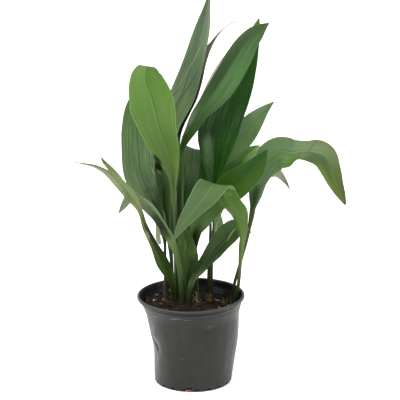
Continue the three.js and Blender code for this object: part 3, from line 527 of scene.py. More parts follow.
        "right": [(0.05, 19, 32, 3), (0.3, 82, 107, 47), (0.5, 68, 99, 37), (0.66, 60, 93, 34),
            (0.72, 48, 81, 34), (0.8, 32, 66, 24), (1, 25, 51, 19)],
        "spotsAndPaintedLight": [(0.85, 0.68, 0.3, 0.02, 0, (112, 140, 84), 0.7),
            (0.3, 0.63, 0.5, 0.02, 0, (96, 126, 66), 0.4)],
    },
    "paleLeft": {
        "node": "leaf_pale_left", "slot": "leaf_pale", "fold": 20, "ripples": 3, "phase": 0.2, "count": 12,
        "streak": 0.16, "glint": 0.15, "midrib": (84, 104, 66), "margin": (130, 146, 108),
        "rows": [(-22, -2, 154, 3.7), (-24, -12, 214, 5.5, -8), (-28, -24, 264, 7.5, -12),
            (-39, -36, 309, 10.5, -18), (-57, -46, 349, 14, -28), (-83, -56, 389, 17, -35),
            (-111, -64, 419.5, 17.5, -40), (-140, -72, 450, 14.5, -45), (-161, -78, 478, 11, -45),
            (-176, -82, 494, 6, -45), (-181, -83, 500, 1.2, -45)],
        # The dark stretch from 0.46 to 0.55 is a painted shadow band.
        "left": [(0.03, 50, 64, 32), (0.2, 80, 100, 58), (0.4, 98, 119, 70), (0.46, 38, 54, 18),
            (0.5, 6, 22, 3), (0.55, 20, 38, 8), (0.62, 74, 90, 56), (0.7, 102, 120, 76), (0.9, 110, 124, 70),
            (1, 88, 92, 40)],
        "right": [(0.03, 42, 54, 26), (0.25, 64, 83, 43), (0.5, 91, 111, 70), (0.7, 96, 114, 72),
            (0.88, 122, 140, 88), (1, 88, 92, 40)],
        "spotsAndPaintedLight": [(-0.6, 0.95, 0.5, 0.015, 0, (124, 138, 54), 0.5), (0, 0.99, 1, 0.012, 0, (64, 70, 48), 0.8)],
    },
    "lowRight": {
        "node": "leaf_low_right", "slot": "leaf_dark", "fold": 20, "ripples": 3, "phase": 0.9, "count": 12,
        "streak": 0.22, "glint": 0.2, "midrib": (70, 90, 54), "margin": (76, 96, 60),
        "rows": [(-10, -10, 155, 3.9), (-6, -14, 202, 5.5), (-1, -17, 222, 8), (11.6, -22, 248, 13.6, 5),
            (27.6, -28, 272.6, 18, 8), (47, -34, 301, 21.5, 8), (68, -26, 323, 24.2),
            (86, -11.9, 331, 19.5, -2), (104, -3, 327, 12.3, -6), (119, 5, 317, 1.2)],
        "left": [(0.05, 40, 45, 21), (0.16, 60, 73, 43), (0.25, 98, 117, 77), (0.36, 38, 55, 26),
            (0.6, 38, 59, 22), (0.85, 55, 81, 35), (1, 60, 77, 41)],
        "right": [(0.05, 40, 45, 21), (0.16, 50, 61, 33), (0.28, 84, 102, 67), (0.45, 41, 62, 28),
            (0.62, 38, 57, 25), (0.85, 58, 81, 33), (1, 56, 63, 35)],
        "spotsAndPaintedLight": [(0.24, 0.79, 0.24, 0.026, -0.31, (150, 166, 130), 0.9),
            (0.54, 0.58, 0.06, 0.18, 0, (18, 32, 12), 0.7), (-0.4, 0.955, 0.4, 0.012, 0, (104, 74, 52), 0.9)],
    },
    "youngCentre": {
        "node": "leaf_young_centre", "slot": "leaf_dark", "fold": 20, "ripples": 2, "phase": 0.3, "count": 13,
        "streak": 0.34, "glint": 0.5, "midrib": (48, 72, 34), "margin": (88, 112, 64),
        "rows": [(-14, 3, 155, 3.9), (-12, -2, 208, 7), (-10, -6, 240, 15.5), (-9, -12, 272, 22),
            (-14, -18, 306, 17.5, -5), (-21, -22, 333, 11, -5), (-28, -24, 355, 1.2)],
        "left": [(0.1, 43, 58, 14), (0.3, 70, 95, 42), (0.5, 63, 88, 31), (0.75, 52, 79, 23), (1, 67, 98, 38)],
        "right": [(0.1, 29, 42, 6), (0.35, 27, 51, 5), (0.5, 38, 60, 12), (0.6, 65, 86, 34), (0.72, 36, 56, 10),
            (1, 53, 78, 28)],
    },
    "slenderLeft": {
        "node": "leaf_slender_left", "slot": "leaf_olive", "fold": 20, "ripples": 3, "phase": 0.5, "count": 11,
        "streak": 0.18, "glint": 0.15, "midrib": (54, 78, 36), "margin": (140, 152, 92),
        "rows": [(-35, 6, 153, 3.7), (-41, -2, 199, 6.3, 6), (-50, -10, 234, 12, 14), (-64.5, -22, 265, 14, 20),
            (-80, -36, 304, 8.9, 30), (-97.8, -50, 347, 7.7, 40), (-109, -66, 389, 7, 40),
            (-126, -80, 421.6, 11.3, 20), (-146, -88, 448.6, 10.6), (-169, -94, 472.5, 7.3, -10),
            (-192, -98, 486, 4.3, -10), (-217, -102, 492, 1.8), (-233, -104, 495, 0.8)],
        "left": [(0.04, 30, 41, 13), (0.2, 46, 72, 14), (0.35, 60, 83, 27), (0.46, 100, 113, 61),
            (0.58, 132, 144, 98), (0.68, 90, 106, 64), (0.8, 130, 141, 110), (1, 124, 129, 103)],
        "right": [(0.04, 28, 40, 16), (0.16, 44, 66, 24), (0.25, 14, 50, 3), (0.36, 6, 32, 3), (0.44, 4, 22, 3),
            (0.52, 64, 78, 40), (0.6, 114, 128, 86), (0.7, 106, 123, 79), (1, 100, 107, 75)],
        "spotsAndPaintedLight": [(-0.7, 0.71, 0.3, 0.008, 0, (140, 156, 66), 0.5),
            (0.51, 0.63, 0.4, 0.01, 0, (140, 154, 70), 0.5), (-0.4, 0.44, 0.8, 0.03, 0, (140, 150, 116), 0.6)],
    },
}

# What every leaf has. Lengths are in mm, angles in degrees.
everyLeaf = {
    "steps": 240, "seed": 12, "thinnest": 0.8,
    # Half width and half thickness of a stem, half thickness of a blade and of its margin.
    "stemHalf": 3.3, "stemThick": 2.7, "bladeThick": 0.62, "marginThick": 0.2,
    # A stem is folded up like a gutter, and loses this over so much more half width. The fold of the
    # tip comes in over a share of the leaf. A half of the blade rises softly beside the midrib.
    "stemFold": 55, "foldLoss": 6, "stemLoss": 5, "tipShare": 0.12, "softRise": 0.03,
    # Half width at which a blade begins, and over which it grows full.
    "bladeFrom": 8, "bladeFull": 14,
    # The margins ripple up and down, full from a half width on, the left one later, and wander in and out:
    # how far, then step along, share and layer of each kind.
    "ripple": 2, "rippleFull": 15, "ripplePower": 1.6, "rippleLag": 1.9,
    "wander": 0.011, "wanders": [(0.11, 1, 0), (0.31, 0.5, 5)],
    # Pleats that run along: height, then for each kind how many on a half, share, swing and shift.
    "pleat": 0.17, "pleats": [(3.1, 1, 0.9, 0), (5.3, 0.7, -1.6, 1)],
    # The midrib: half width, groove above, ridge below. The gutter of a stem: depth and reach.
    "rib": (1.4, 0.45, 0.75), "gutter": (0.9, 0.34),
    # Places across one half, closer together at the midrib and at the margin.
    "places": [0, 0.02, 0.05, 0.09, 0.15, 0.22, 0.3, 0.39, 0.48, 0.57, 0.66, 0.75, 0.83, 0.9, 0.955, 0.985, 1],
    # Colours and finish. A fade is from, to, value before and value after.
    "halves": (-0.12, 0.12), "marginHalves": (-0.1, 0.1), "blade": (0.35, 0.5),
    "midrib": (0.07, 0.015, 0, 0.55), "margin": (0.93, 1.0, 0, 0.75), "veins": 0.12,
    "streaks": (0.3, 0.7), "gloss": (0.5, 0.36), "specular": 0.12, "relief": (0.35, 0.0004),
    # Painted glints: the pale highlight colour and how much of it is added.
    "glintTint": (150, 168, 136), "glintShare": 0.45,
    "underTint": (128, 148, 104), "under": (0.2, -0.2, 0, 0.22),
}
acrossPlaces = np.array([-s for s in everyLeaf["places"][:0:-1]] + everyLeaf["places"])


def unit(vector):
    return vector / np.linalg.norm(vector)


def bentBetween(u, gap, start, startSlope, end, endSlope):  # smooth bend, u is 0 at its start and 1 at its end
    return ((2 * u**3 - 3 * u**2 + 1) * start + (u**3 - 2 * u**2 + u) * gap * startSlope
            + (3 * u**2 - 2 * u**3) * end + (u**3 - u**2) * gap * endSlope)


def leafSamples(path):  # smooth run through the rows, like a bent wire
    rows = np.array([(*row, 0)[:5] for row in path], float)
    gaps = np.linalg.norm(np.diff(rows[:, :3], axis=0), axis=1)
    slopes = np.diff(rows, axis=0) / gaps[:, None]
    tangents = np.empty_like(rows)
    tangents[0], tangents[-1] = slopes[0], slopes[-1]
    before, after = gaps[:-1, None], gaps[1:, None]
    tangents[1:-1] = (slopes[1:] * before + slopes[:-1] * after) / (before + after)
    ends = np.concatenate([[0], np.cumsum(gaps)])
    along = np.linspace(0, ends[-1], everyLeaf["steps"] + 1)
    span = np.clip(np.searchsorted(ends, along, side="left") - 1, 0, len(gaps) - 1)
    gap = gaps[span][:, None]
    u = np.minimum(1, (along - ends[span])[:, None] / gap)
    return bentBetween(u, gap, rows[span], tangents[span], rows[span + 1], tangents[span + 1])


def leafFrames(samples):  # directions out of and across the leaf
    places = samples[:, :3]
    facing = np.array([0.0, -1.0, 0.0])
    last = len(places) - 1
    frames = []
    for i in range(last + 1):
        along = unit(places[min(i + 1, last)] - places[max(i - 1, 0)])
        facing = unit(facing - along * facing.dot(along))
        roll = math.radians(samples[i, 4])
        out = facing * math.cos(roll) + np.cross(along, facing) * math.sin(roll)
        frames.append((out, np.cross(along, out)))
    return np.array(frames).transpose(1, 0, 2)


def leafProfile(widths, leaf):  # fold, half thickness, share of the blade and stem share at every sample
    form, last = everyLeaf, len(widths) - 1
    steps = np.arange(last + 1)
    widest = int(np.argmax(widths))
    start = int(np.argmax(widths > 2 * widths[0]))
    growing = np.clip((steps - start) / (widest - start), 0, 1)
    past = np.clip((steps - widest) / (form["tipShare"] * last), 0, 1)
    blade = np.clip((widths - form["stemHalf"]) / form["foldLoss"], 0, 1)
    footFold = math.copysign(form["stemFold"], leaf["fold"])
    tipFold = leaf.get("tipFold", leaf["fold"])
    fold = np.where(steps < widest, (leaf["fold"] + (footFold - leaf["fold"]) * (1 - growing) ** 2) * blade,
                    leaf["fold"] + (tipFold - leaf["fold"]) * past)
    stem = np.where(steps < widest, np.exp(-np.maximum(0, widths - form["stemHalf"]) / form["stemLoss"]), 0)
    half = form["bladeThick"] + (form["stemThick"] - form["bladeThick"]) * stem
    share = np.clip((steps - start) / (last - start), 0, 1)
    return np.radians(fold), half, share, stem


def leafMesh(name, leaf):
    form = everyLeaf
    rand = random.Random(form["seed"] + sum(map(ord, name)))
    samples = leafSamples(leaf["rows"])
    outs, acrosses = leafFrames(samples)
    widths = np.maximum(form["thinnest"], samples[:, 3])
    fold, half, share, stem = leafProfile(widths, leaf)
    stem, wide, share = stem[:, None], widths[:, None], share[:, None]
    blade = np.clip((wide - form["bladeFrom"]) / form["bladeFull"], 0, 1)
    s = acrossPlaces[None, :]
    # The margins wander a little, each in its own way.
    drift = [rand.uniform(0, 50), rand.uniform(60, 90)]
    wander = np.array([[sum(part * noise.noise(Vector((i * step, start, layer)))
                            for step, part, layer in form["wanders"])
                        for start in drift] for i in range(len(widths))])
    wander = np.where(s < 0, wander[:, :1], wander[:, 1:])
    wander = wander * form["wander"] * np.abs(s) ** 6 * (wide > form["bladeFrom"])
    aside = s * wide * np.cos(fold)[:, None] * (1 + wander)
    # Each half rises from the midrib, ripples at its margin and is pleated.
    soft = form["softRise"]
    bowl = (np.sqrt(s * s + soft) - math.sqrt(soft)) / (math.sqrt(1 + soft) - math.sqrt(soft))
    ripple = form["ripple"] * np.sqrt(np.maximum(0, np.sin(math.pi * share)))
    ripple = ripple * np.clip(wide / form["rippleFull"], 0, 1)
    turn = 2 * math.pi * (leaf["ripples"] * share + leaf["phase"]) + np.where(s < 0, form["rippleLag"], 0)
    rise = bowl * (widths * np.sin(fold))[:, None] + ripple * np.abs(s) ** form["ripplePower"] * np.sin(turn)
    bend = np.sin(9 * share + 5 * leaf["phase"])
    pleats = sum(part * np.cos(2 * math.pi * count * s + swing * bend + shift)
                 for count, part, swing, shift in form["pleats"])
    rise = rise + form["pleat"] * blade * pleats * (1 - np.abs(s) ** 4)
    thick = np.maximum(form["marginThick"], half[:, None] * np.sqrt(1 - 0.94 * s * s))
    (rib, grooveDeep, ridge), (gutterDeep, gutterWide) = form["rib"], form["gutter"]
    groove = np.exp(-(s * wide / rib) ** 2)
    upper = thick - grooveDeep * blade * groove - gutterDeep * stem * np.exp(-(s / gutterWide) ** 2)
    lower = thick + ridge * blade * groove
    # Round each ring: over the upper face, and back under the lower one.
    loops = []
    for height, order in ((upper, 1), (-lower, -1)):
        points = (samples[:, None, :3] + acrosses[:, None, :] * aside[..., None]
                  + outs[:, None, :] * (rise + height)[..., None])
        loops.append(points[:, ::order])
    points = np.concatenate(loops, axis=1) * mm
    rings, size = points.shape[:2]
    field = np.empty((rings, size, 3))
    field[:, :, 0] = np.concatenate([acrossPlaces, acrossPlaces[::-1]])
    field[:, :, 1] = (np.arange(rings) / (rings - 1))[:, None]
    field[:, :, 2] = np.repeat([1, -1], size // 2)
    faces = bandFaces(size, rings - 1, rings * size)
    end = (rings - 1) * size
    for k in range(size // 2 - 1):
        faces.append((k, size - 1 - k, size - 2 - k, k + 1))
        faces.append((end + k, end + k + 1, end + size - 2 - k, end + size - 1 - k))
    mesh = newMesh(name, points.reshape(-1, 3), faces, 1)
    vectorField(mesh, "leafPlace", field)
    return mesh


def leafMaterial(name, leaf):
    look = everyLeaf
    made, tree, shader = newMaterial(name + "Green")
    place = put(tree, "Attribute", attribute_name="leafPlace")["Vector"]
    parts = put(tree, "SeparateXYZ", {0: place})
    across, along, fromRib = parts["X"], parts["Y"], calc(tree, "ABSOLUTE", parts["X"])
    seed = float(sum(map(ord, name)) % 37)
    veins = useGroup(tree, leafVeins, Place=place, Count=float(leaf["count"]), Seed=seed)
    # The colours along each half carry painted light and shade as well as the leaf's own green.
    sides = [ramp(tree, along, leaf.get(side, leaf["left"])) for side in ("left", "right")]
    colour = mixColour(tree, fade(tree, across, *look["halves"]), *sides)
    lift = fade(tree, veins["Streaks"], *look["streaks"], 1 - leaf["streak"], 1 + leaf["streak"])
    colour = tinted(tree, shaded(tree, colour, lift), veins["Lines"], leaf["margin"], look["veins"])
    # Painted glints: a pale highlight colour added where the fine streaks glint.
    pale = mixColour(tree, look["glintShare"], colour, paint(*look["glintTint"]), "ADD")
    colour = mixColour(tree, times(tree, veins["Glints"], leaf["glint"]), colour, pale)
    onBlade = fade(tree, along, *look["blade"])
    colour = tinted(tree, colour, times(tree, fade(tree, fromRib, *look["midrib"]), onBlade), leaf["midrib"])
    # The margin colour is partly the edge's own pale or dry colour and partly a painted highlight where an edge
    # catches the light.
    margins = [paint(*leaf["margin"]), paint(*leaf.get("rightMargin", leaf["margin"]))]
    margin = mixColour(tree, fade(tree, across, *look["marginHalves"]), *margins)
    colour = mixColour(tree, times(tree, fade(tree, fromRib, *look["margin"]), onBlade), colour, margin)
    # Spots: real marks, painted shadows and painted highlights.
    colour = paintSpotsLightAndShade(tree, colour, place, veins["Streaks"], leaf.get("spotsAndPaintedLight", []))
    colour = tinted(tree, colour, fade(tree, parts["Z"], *look["under"]), look["underTint"])
    gloss = fade(tree, veins["Streaks"], *look["streaks"], *look["gloss"])
    finishMaterial(tree, shader, colour, gloss, look["specular"], veins["Height"], *look["relief"])
    return made


for leafName, leaf in leaves.items():
    pieceName = "leaf" + leafName[0].upper() + leafName[1:]
    showPiece(pieceName, leafMesh(leafName, leaf), leafMaterial(leafName, leaf), leaf["slot"], leaf["node"])
print("leaves built:", len(leaves))

pot = {
    "height": 184.4, "rim": 111, "foot": 80, "floor": 2.2, "corner": 1.6, "sides": 240, "longest": 5, "sharp": 38,
    # How far the axis leans to the side at the rim and bows halfway up.
    "lean": -4.5, "belly": 4.8,
    # The rim stands higher: all of it, more at the right, for each mm to the back; from a height, over a height.
    "rise": (0.5, 3, 0.006, 160, 18),
    # Radius and height in mm, up the outside and then down the inside.
    "outer": [
        (78.6, 0), (80, 1.6), (81.2, 14), (83, 34), (85.2, 54), (87.7, 74), (90, 92), (92.1, 110), (94.1, 128),
        (96, 146), (98.5, 155), (102.4, 166), (104.4, 171.4), (106, 172.4), (106, 175), (105, 176.2),
        (109.4, 176.8), (111, 178.4), (111, 182.4), (109.4, 184.4),
    ],
    "inner": [
        (106.2, 184.4), (104.8, 183), (103.4, 177), (102.6, 170.6), (100.2, 165), (97.8, 158), (96.4, 157.2),
        (94.4, 146), (92.5, 128), (90.5, 110), (88.4, 92), (86.1, 74), (83.6, 54), (81.4, 34), (79.6, 14),
        (78.6, 2.2),
    ],
    # Soft hollows in the thin wall, from a radius on: angle, height, reach in degrees, reach in mm, depth.
    "wallFrom": 60,
    "dents": [
        (188, 72, 26, 30, 3.2), (211, 92, 7, 16, 2.2), (289, 138, 12, 13, 1.2), (262, 66, 8, 8, 0.8),
        (338, 100, 24, 40, -1.6), (236, 120, 10, 34, 0.5), (303, 58, 14, 22, 0.5), (254, 44, 3, 3, 0.5),
    ],
    # Creases: two ends as angle and height, width in mm, depth. A degree of the wall is so many mm.
    "degree": 1.6, "creases": [
        ((197, 110), (213, 80), 3.2, 1.5), ((209, 146), (210, 112), 4, -0.9), ((193, 92), (203, 60), 5, 0.8),
    ],
    # Drain notches round the foot and one larger hole: width, depth and height. They start outside the foot.
    "cuts": 20, "firstCut": 6, "cut": (8.4, 5.2, 6.2), "drain": (17, 7, 9.4), "drainAngle": 264, "outside": 2.6,
    # Colours and finish. Here heights and radii are in metres, and a fade is from and to.
    # Blotches: scale, low and high end, and how they are drawn out upwards.
    "plastic": (16, 16, 13), "dust": (28, 28, 23), "dustBlotches": (16.0, 0.35, 0.75),
    "scuffs": (46, 46, 44), "scuffShare": 0.25, "scuffBlotches": (90.0, 0.5, 0.75, 0.12),
    # The rim's top is lighter, partly wear and partly a painted highlight: colour, then its fade in height.
    "lip": (84, 83, 80), "lipFade": (0.180, 0.184, 0, 0.5),
    # Painted shade inside the pot: inward-facing surfaces nearly black, how much, and the fade of facing.
    "inside": (9, 9, 8), "insideShadeShare": 0.95, "insideFade": (0.01, -0.02),
    # Fine rings inside the rim and under it: step, crest, and where each band rises and falls.
    # Their crests inside are painted lighter as a painted highlight: colour and how much.
    "ring": (44, 46, 44), "ringHighlightShare": 0.7, "ringStep": 0.0042, "ringCrest": (0.3, 0.9),
    "innerRings": ((0.155, 0.162), (0.180, 0.176)), "outerRings": ((0.150, 0.158), (0.173, 0.169)),
    # Painted shade in the foot notches: colour, then the radius and height over which it fades in.
    "notch": (4, 4, 4), "notchRadius": (0.0797, 0.0785), "notchHeight": (0.014, 0.011),
    "gloss": (0.34, 0.46), "specular": 0.33, "scuffHeight": 0.15, "ringHeight": 0.4, "swell": 5.0,
    "swellNoise": (26.0, 2, 0.4), "relief": (0.4, 0.001), "sheenAndShadowNoise": 90.0,
    # Sheen and shadow on the thin wall, as spots on its angle in degrees and its height in mm.
    "sheenAndShadow": [
        (209, 98, 4, 5, -2.6, (132, 132, 128), 0.8), (216, 79, 3.4, 4, -2.6, (6, 6, 6), 0.85),
        (211, 133, 3.6, 22, 0, (92, 92, 89), 0.55), (206, 60, 7, 26, 0, (54, 54, 54), 0.5),
        (250, 165, 9, 2.4, 0.15, (88, 88, 85), 0.55), (263, 164.5, 6, 2, 0, (80, 80, 77), 0.45),
        (226, 165, 9, 1.4, 0.25, (6, 6, 6), 0.8), (222, 161, 8, 1.4, 0.3, (76, 76, 74), 0.6),
        (312, 163, 10, 1.5, -0.1, (8, 8, 8), 0.7), (316, 160, 9, 1.4, -0.1, (70, 70, 68), 0.5),
        (291, 145, 8, 4.4, 0.3, (56, 58, 57), 0.5), (288, 135, 11, 7, 0, (12, 12, 12), 0.6),
        (281, 122, 8, 12, 0.4, (14, 15, 14), 0.45), (256, 74, 5, 3, 0, (50, 50, 49), 0.4),
        (240, 60, 11, 42, 0, (16, 19, 17), 0.45), (322, 90, 6, 70, 0, (48, 48, 50), 0.5),
        (334, 60, 5, 60, 0, (10, 10, 11), 0.5), (300, 50, 12, 30, 0, (18, 19, 15), 0.45),
    ],
}


def potShift(z):
    return pot["lean"] * z / pot["height"] + pot["belly"] * math.sin(math.pi * z / pot["height"])


def pressed(angle, z):  # how far the wall is pushed in at an angle and height
    degrees = math.degrees(angle) % 360
    depth = sum(deep * math.exp(-((degrees - at) / reach) ** 2 - ((z - high) / tall) ** 2)
                for at, high, reach, tall, deep in pot["dents"])
    for (fromAngle, fromZ), (toAngle, toZ), wide, deep in pot["creases"]:
        run = Vector(((toAngle - fromAngle) * pot["degree"], toZ - fromZ))
        spot = Vector(((degrees - fromAngle) * pot["degree"], z - fromZ))
        share = min(1, max(0, spot.dot(run) / run.length_squared))
        depth += deep * math.exp(-((spot - run * share).length / wide) ** 2)
    return depth


def raised(x, y, z):
    everywhere, right, back, start, tall = pot["rise"]
    share = min(1, max(0, (z - start) / tall))
    toRight = (x + pot["rim"]) / (2 * pot["rim"])
    return z + share * share * (3 - 2 * share) * (everywhere + right * toRight ** 2 + back * y)


def bendPot(radius, angle, z):
    if radius > pot["wallFrom"]:
        radius -= pressed(angle, z)
    x, y = radius * math.cos(angle) + potShift(z), radius * math.sin(angle)
    return (x, y, raised(x, y, z))


def rounded(outline, reach):  # softens every corner over a short reach
    softer = [outline[0]]
    for before, corner, after in zip(outline[:-2], outline[1:-1], outline[2:]):
        corner = Vector(corner)
        ways = [Vector(p) - corner for p in (before, after)]
        near = [corner + way * min(0.42, reach / way.length) for way in ways]
        softer += [tuple(near[0]), tuple(corner * 0.5 + (near[0] + near[1]) * 0.25), tuple(near[1])]
    return softer + [outline[-1]]


def divided(outline, longest):
    dense = [outline[0]]
    for (r0, z0), (r1, z1) in zip(outline[:-1], outline[1:]):
        pieces = max(1, math.ceil(math.hypot(r1 - r0, z1 - z0) / longest))
        dense += [(r0 + (r1 - r0) * k / pieces, z0 + (z1 - z0) * k / pieces) for k in range(1, pieces + 1)]
    return dense


def wallMesh():  # the outline turned round the pot's bent axis
    outline = rounded([(0, 0), *pot["outer"], *pot["inner"], (0, pot["floor"])], pot["corner"])
    outline = divided(outline, pot["longest"])
    sides = pot["sides"]
    rings = [bendPot(radius, 2 * math.pi * side / sides, z) for radius, z in outline[1:-1] for side in range(sides)]
    ends = [bendPot(radius, 0, z) for radius, z in (outline[0], outline[-1])]
    return newMesh("potWall", [ends[0], *rings, ends[1]], turnedFaces(sides, len(outline) - 2))


def footCuts(name, cuts):  # wedges, wide at the foot and narrow at their tops
    points, faces = [], []
    for wide, deep, tall, angle in cuts:
        near = pot["foot"] - deep + pot["outside"]
        turned = Matrix.Rotation(math.radians(angle - 270), 3, "Z")
        first = len(points)
        for y in (-near, -near - deep):
            points += [turned @ Vector((x, y, z)) for x, z in (
                (-wide / 2, -1), (wide / 2, -1), (wide / 3, tall), (-wide / 3, tall))]
        faces += [[first + k for k in ring] for ring in (
            (3, 2, 1, 0), (4, 5, 6, 7), (0, 1, 5, 4), (1, 2, 6, 5), (2, 3, 7, 6), (3, 0, 4, 7))]
    return addObject(name, newMesh(name, points, faces))


def potMesh():
    wall = addObject("potWall", wallMesh())
    turns = [360 / pot["cuts"] * k + pot["firstCut"] for k in range(pot["cuts"])]
    cutters = [footCuts("notches", [(*pot["cut"], turn) for turn in turns]),
               footCuts("drainHole", [(*pot["drain"], pot["drainAngle"])])]
    for cutter in cutters:
        cutting = wall.modifiers.new(cutter.name, "BOOLEAN")
        cutting.object, cutting.operation, cutting.solver = cutter, "DIFFERENCE", "EXACT"
    mesh = finalMesh(wall)
    for cutter in cutters:
        bpy.data.objects.remove(cutter)
    return mesh


def potMaterial():
    made, tree, shader = newMaterial("blackNurseryPlastic")
    coords = put(tree, "TexCoord")
    spot = coords["Object"]
    parts = put(tree, "SeparateXYZ", {0: spot})
    tall = parts["Z"]
    flat = put(tree, "VectorMath", {0: spot, 1: (1, 1, 0)}, operation="MULTIPLY")[0]
    outward = put(tree, "VectorMath", {0: flat, 1: coords["Normal"]}, operation="DOT_PRODUCT")["Value"]
    inside = fade(tree, outward, *pot["insideFade"])
    radius = put(tree, "VectorMath", {0: flat}, operation="LENGTH")["Value"]
    degrees = calc(tree, "MULTIPLY_ADD", calc(tree, "ARCTAN2", parts["Y"], parts["X"]), 180 / math.pi, 360.0)
    place = put(tree, "CombineXYZ", {0: degrees, 1: times(tree, tall, 1 / mm)})[0]
    dust = blotched(tree, spot, *pot["dustBlotches"])
    scuffs = blotched(tree, spot, *pot["scuffBlotches"])
    wave = calc(tree, "SINE", times(tree, tall, 2 * math.pi / pot["ringStep"]))
    innerRings, outerRings = band(tree, tall, *pot["innerRings"]), band(tree, tall, *pot["outerRings"])
    rings = times(tree, times(tree, fade(tree, wave, *pot["ringCrest"]), innerRings), inside)
    notch = times(tree, fade(tree, radius, *pot["notchRadius"]), fade(tree, tall, *pot["notchHeight"]))
    colour = mixColour(tree, dust, paint(*pot["plastic"]), paint(*pot["dust"]))
    colour = tinted(tree, colour, scuffs, pot["scuffs"], pot["scuffShare"])
    # Painted sheen and shadow on the wall.
    colour = paintSpotsLightAndShade(tree, colour, place, cloudy(tree, spot, pot["sheenAndShadowNoise"]), pot["sheenAndShadow"])
    # Lighter rim top: partly wear, partly painted highlight.
    colour = tinted(tree, colour, fade(tree, tall, *pot["lipFade"]), pot["lip"])
    # Painted shade on the inside.
    colour = tinted(tree, colour, inside, pot["inside"], pot["insideShadeShare"])
    # Painted highlight on the crests of the inner rings.
    colour = tinted(tree, colour, rings, pot["ring"], pot["ringHighlightShare"])
    # Painted shade in the foot notches.
    colour = tinted(tree, colour, notch, pot["notch"])
    ribs = times(tree, wave, between(tree, inside, outerRings, innerRings))
    swell = times(tree, cloudy(tree, spot, *pot["swellNoise"]), pot["swell"])
    height = calc(tree, "MULTIPLY_ADD", ribs, pot["ringHeight"], swell)
    height = calc(tree, "MULTIPLY_ADD", scuffs, pot["scuffHeight"], height)
    gloss = fade(tree, dust, 0, 1, *pot["gloss"])
    finishMaterial(tree, shader, colour, gloss, pot["specular"], height, *pot["relief"])
    return made


potShape = potMesh()
showPiece("nurseryPot", potShape, potMaterial(), "pot", "pot")
potShape.set_sharp_from_angle(angle=math.radians(pot["sharp"]))
print("pot built:", len(potShape.polygons), "faces")

# Lengths are in mm. The soil follows the pot's inner wall and stays a gap away from it.
soil = {
    "level": 163, "slope": -0.07, "gap": 0.6, "sides": 216, "rings": 72, "foot": 2.6, "walls": (10, 150),
    "shoulder": 156.5, "edge": (160, 158), "edgeGap": 0.4,
    # A mound round the stems: height, middle, spread. Then how high three kinds of lumps are.
    "mound": (4, (-8, 14), 2600), "lumps": (1.5, 0.9, 0.7),
    # Crumbly roughness: height and size.
    "crumbly": [(1.5, 8), (0.9, 3.6), (0.5, 1.7)],
    # Damp and dry patches, pale specks, and painted shade on the soil low down, where it shows in the holes, with
    # heights in metres.
    "damp": (21, 19, 14), "dry": (38, 32, 22), "patches": (60.0, 0.4, 0.62),
    "specks": (62, 45, 31), "speckScale": 330.0, "speckShare": 0.3, "deep": (5, 5, 4), "deepShadeFade": (0.03, 0.02),
    "roughness": 0.95, "specular": 0.12, "relief": (0.8, 0.0016),
}
# Bits that lie on the soil. Each kind: how many, how far from the middle, corners, height of their middle.
bark = {
    "seed": 71, "middle": -3, "big": (24, 84, 22, 0.4), "small": (170, 92, 14, 0.4), "crumbs": (900, 93, 8, 0.3),
    "whiteBits": 16,
    # Length, width and height: of a big chip at least and how much more, of a small one from and to.
    "bigSize": [(7, 9), (4, 4), (2.6, 1.6)], "bigTilt": 0.9,
    "smallSize": [(3, 8), (2, 4), (0.9, 2)], "smallTilt": 0.5,
    "crumbSize": (1, 2.6), "whiteSize": (1.4, 2.6), "crumbShape": (1.3, 1, 0.8),
    "tones": [(0, 16, 14, 11), (0.4, 34, 26, 19), (0.75, 62, 42, 30), (0.93, 98, 70, 54), (1, 128, 102, 88)],
    "grain": (30, 22, 18), "grainShare": 0.5, "grainBlotches": (260.0, 0.35, 0.65), "white": (200, 196, 186),
    "roughness": 0.85, "specular": 0.2, "relief": (0.5, 0.0006),
}


def soilTop(x, y):
    high, (atX, atY), spread = soil["mound"]
    mound = high * math.exp(-((x - atX) ** 2 + (y - atY) ** 2) / spread)
    first, second, third = soil["lumps"]
    lumps = first * math.sin(x * 0.17 + 1.3) * math.cos(y * 0.14 - 0.6)
    lumps += second * math.sin(x * 0.37 - y * 0.31) + third * math.cos(y * 0.52 + x * 0.11)
    return soil["level"] + soil["slope"] * x + mound + lumps


def fineTop(x, y):  # soilTop with its crumbly roughness
    return soilTop(x, y) + sum(high * noise.noise(Vector((x, y, 0)) / size) for high, size in soil["crumbly"])


def innerRadius(z):
    for (r0, z0), (r1, z1) in zip(pot["inner"][:-1], pot["inner"][1:]):
        if z1 <= z <= z0:
            return r0 + (r1 - r0) * (z - z0) / (z1 - z0)
    return pot["inner"][-1][0]


def soilMesh():
    rings, turns = soil["rings"], [2 * math.pi * side / soil["sides"] for side in range(soil["sides"])]
    low, high = soil["walls"]
    levels = [soil["foot"], *[z for _, z in reversed(pot["inner"]) if low < z < high], soil["shoulder"]]
    points = [(0, 0, levels[0])]
    for z in levels:
        points += [bendPot(innerRadius(z) - soil["gap"], turn, z) for turn in turns]
    wallZ, edgeZ = soil["edge"]
    edge = [bendPot(innerRadius(wallZ) - soil["gap"] - soil["edgeGap"], turn, edgeZ) for turn in turns]
    for ring in range(rings, 0, -1):
        for edgeX, edgeY, _ in edge:
            x, y = edgeX * ring / rings, edgeY * ring / rings
            points.append((x, y, fineTop(x, y)))
    points.append((0, 0, fineTop(0, 0)))
    return newMesh("pottingSoil", points, turnedFaces(soil["sides"], len(levels) + rings))


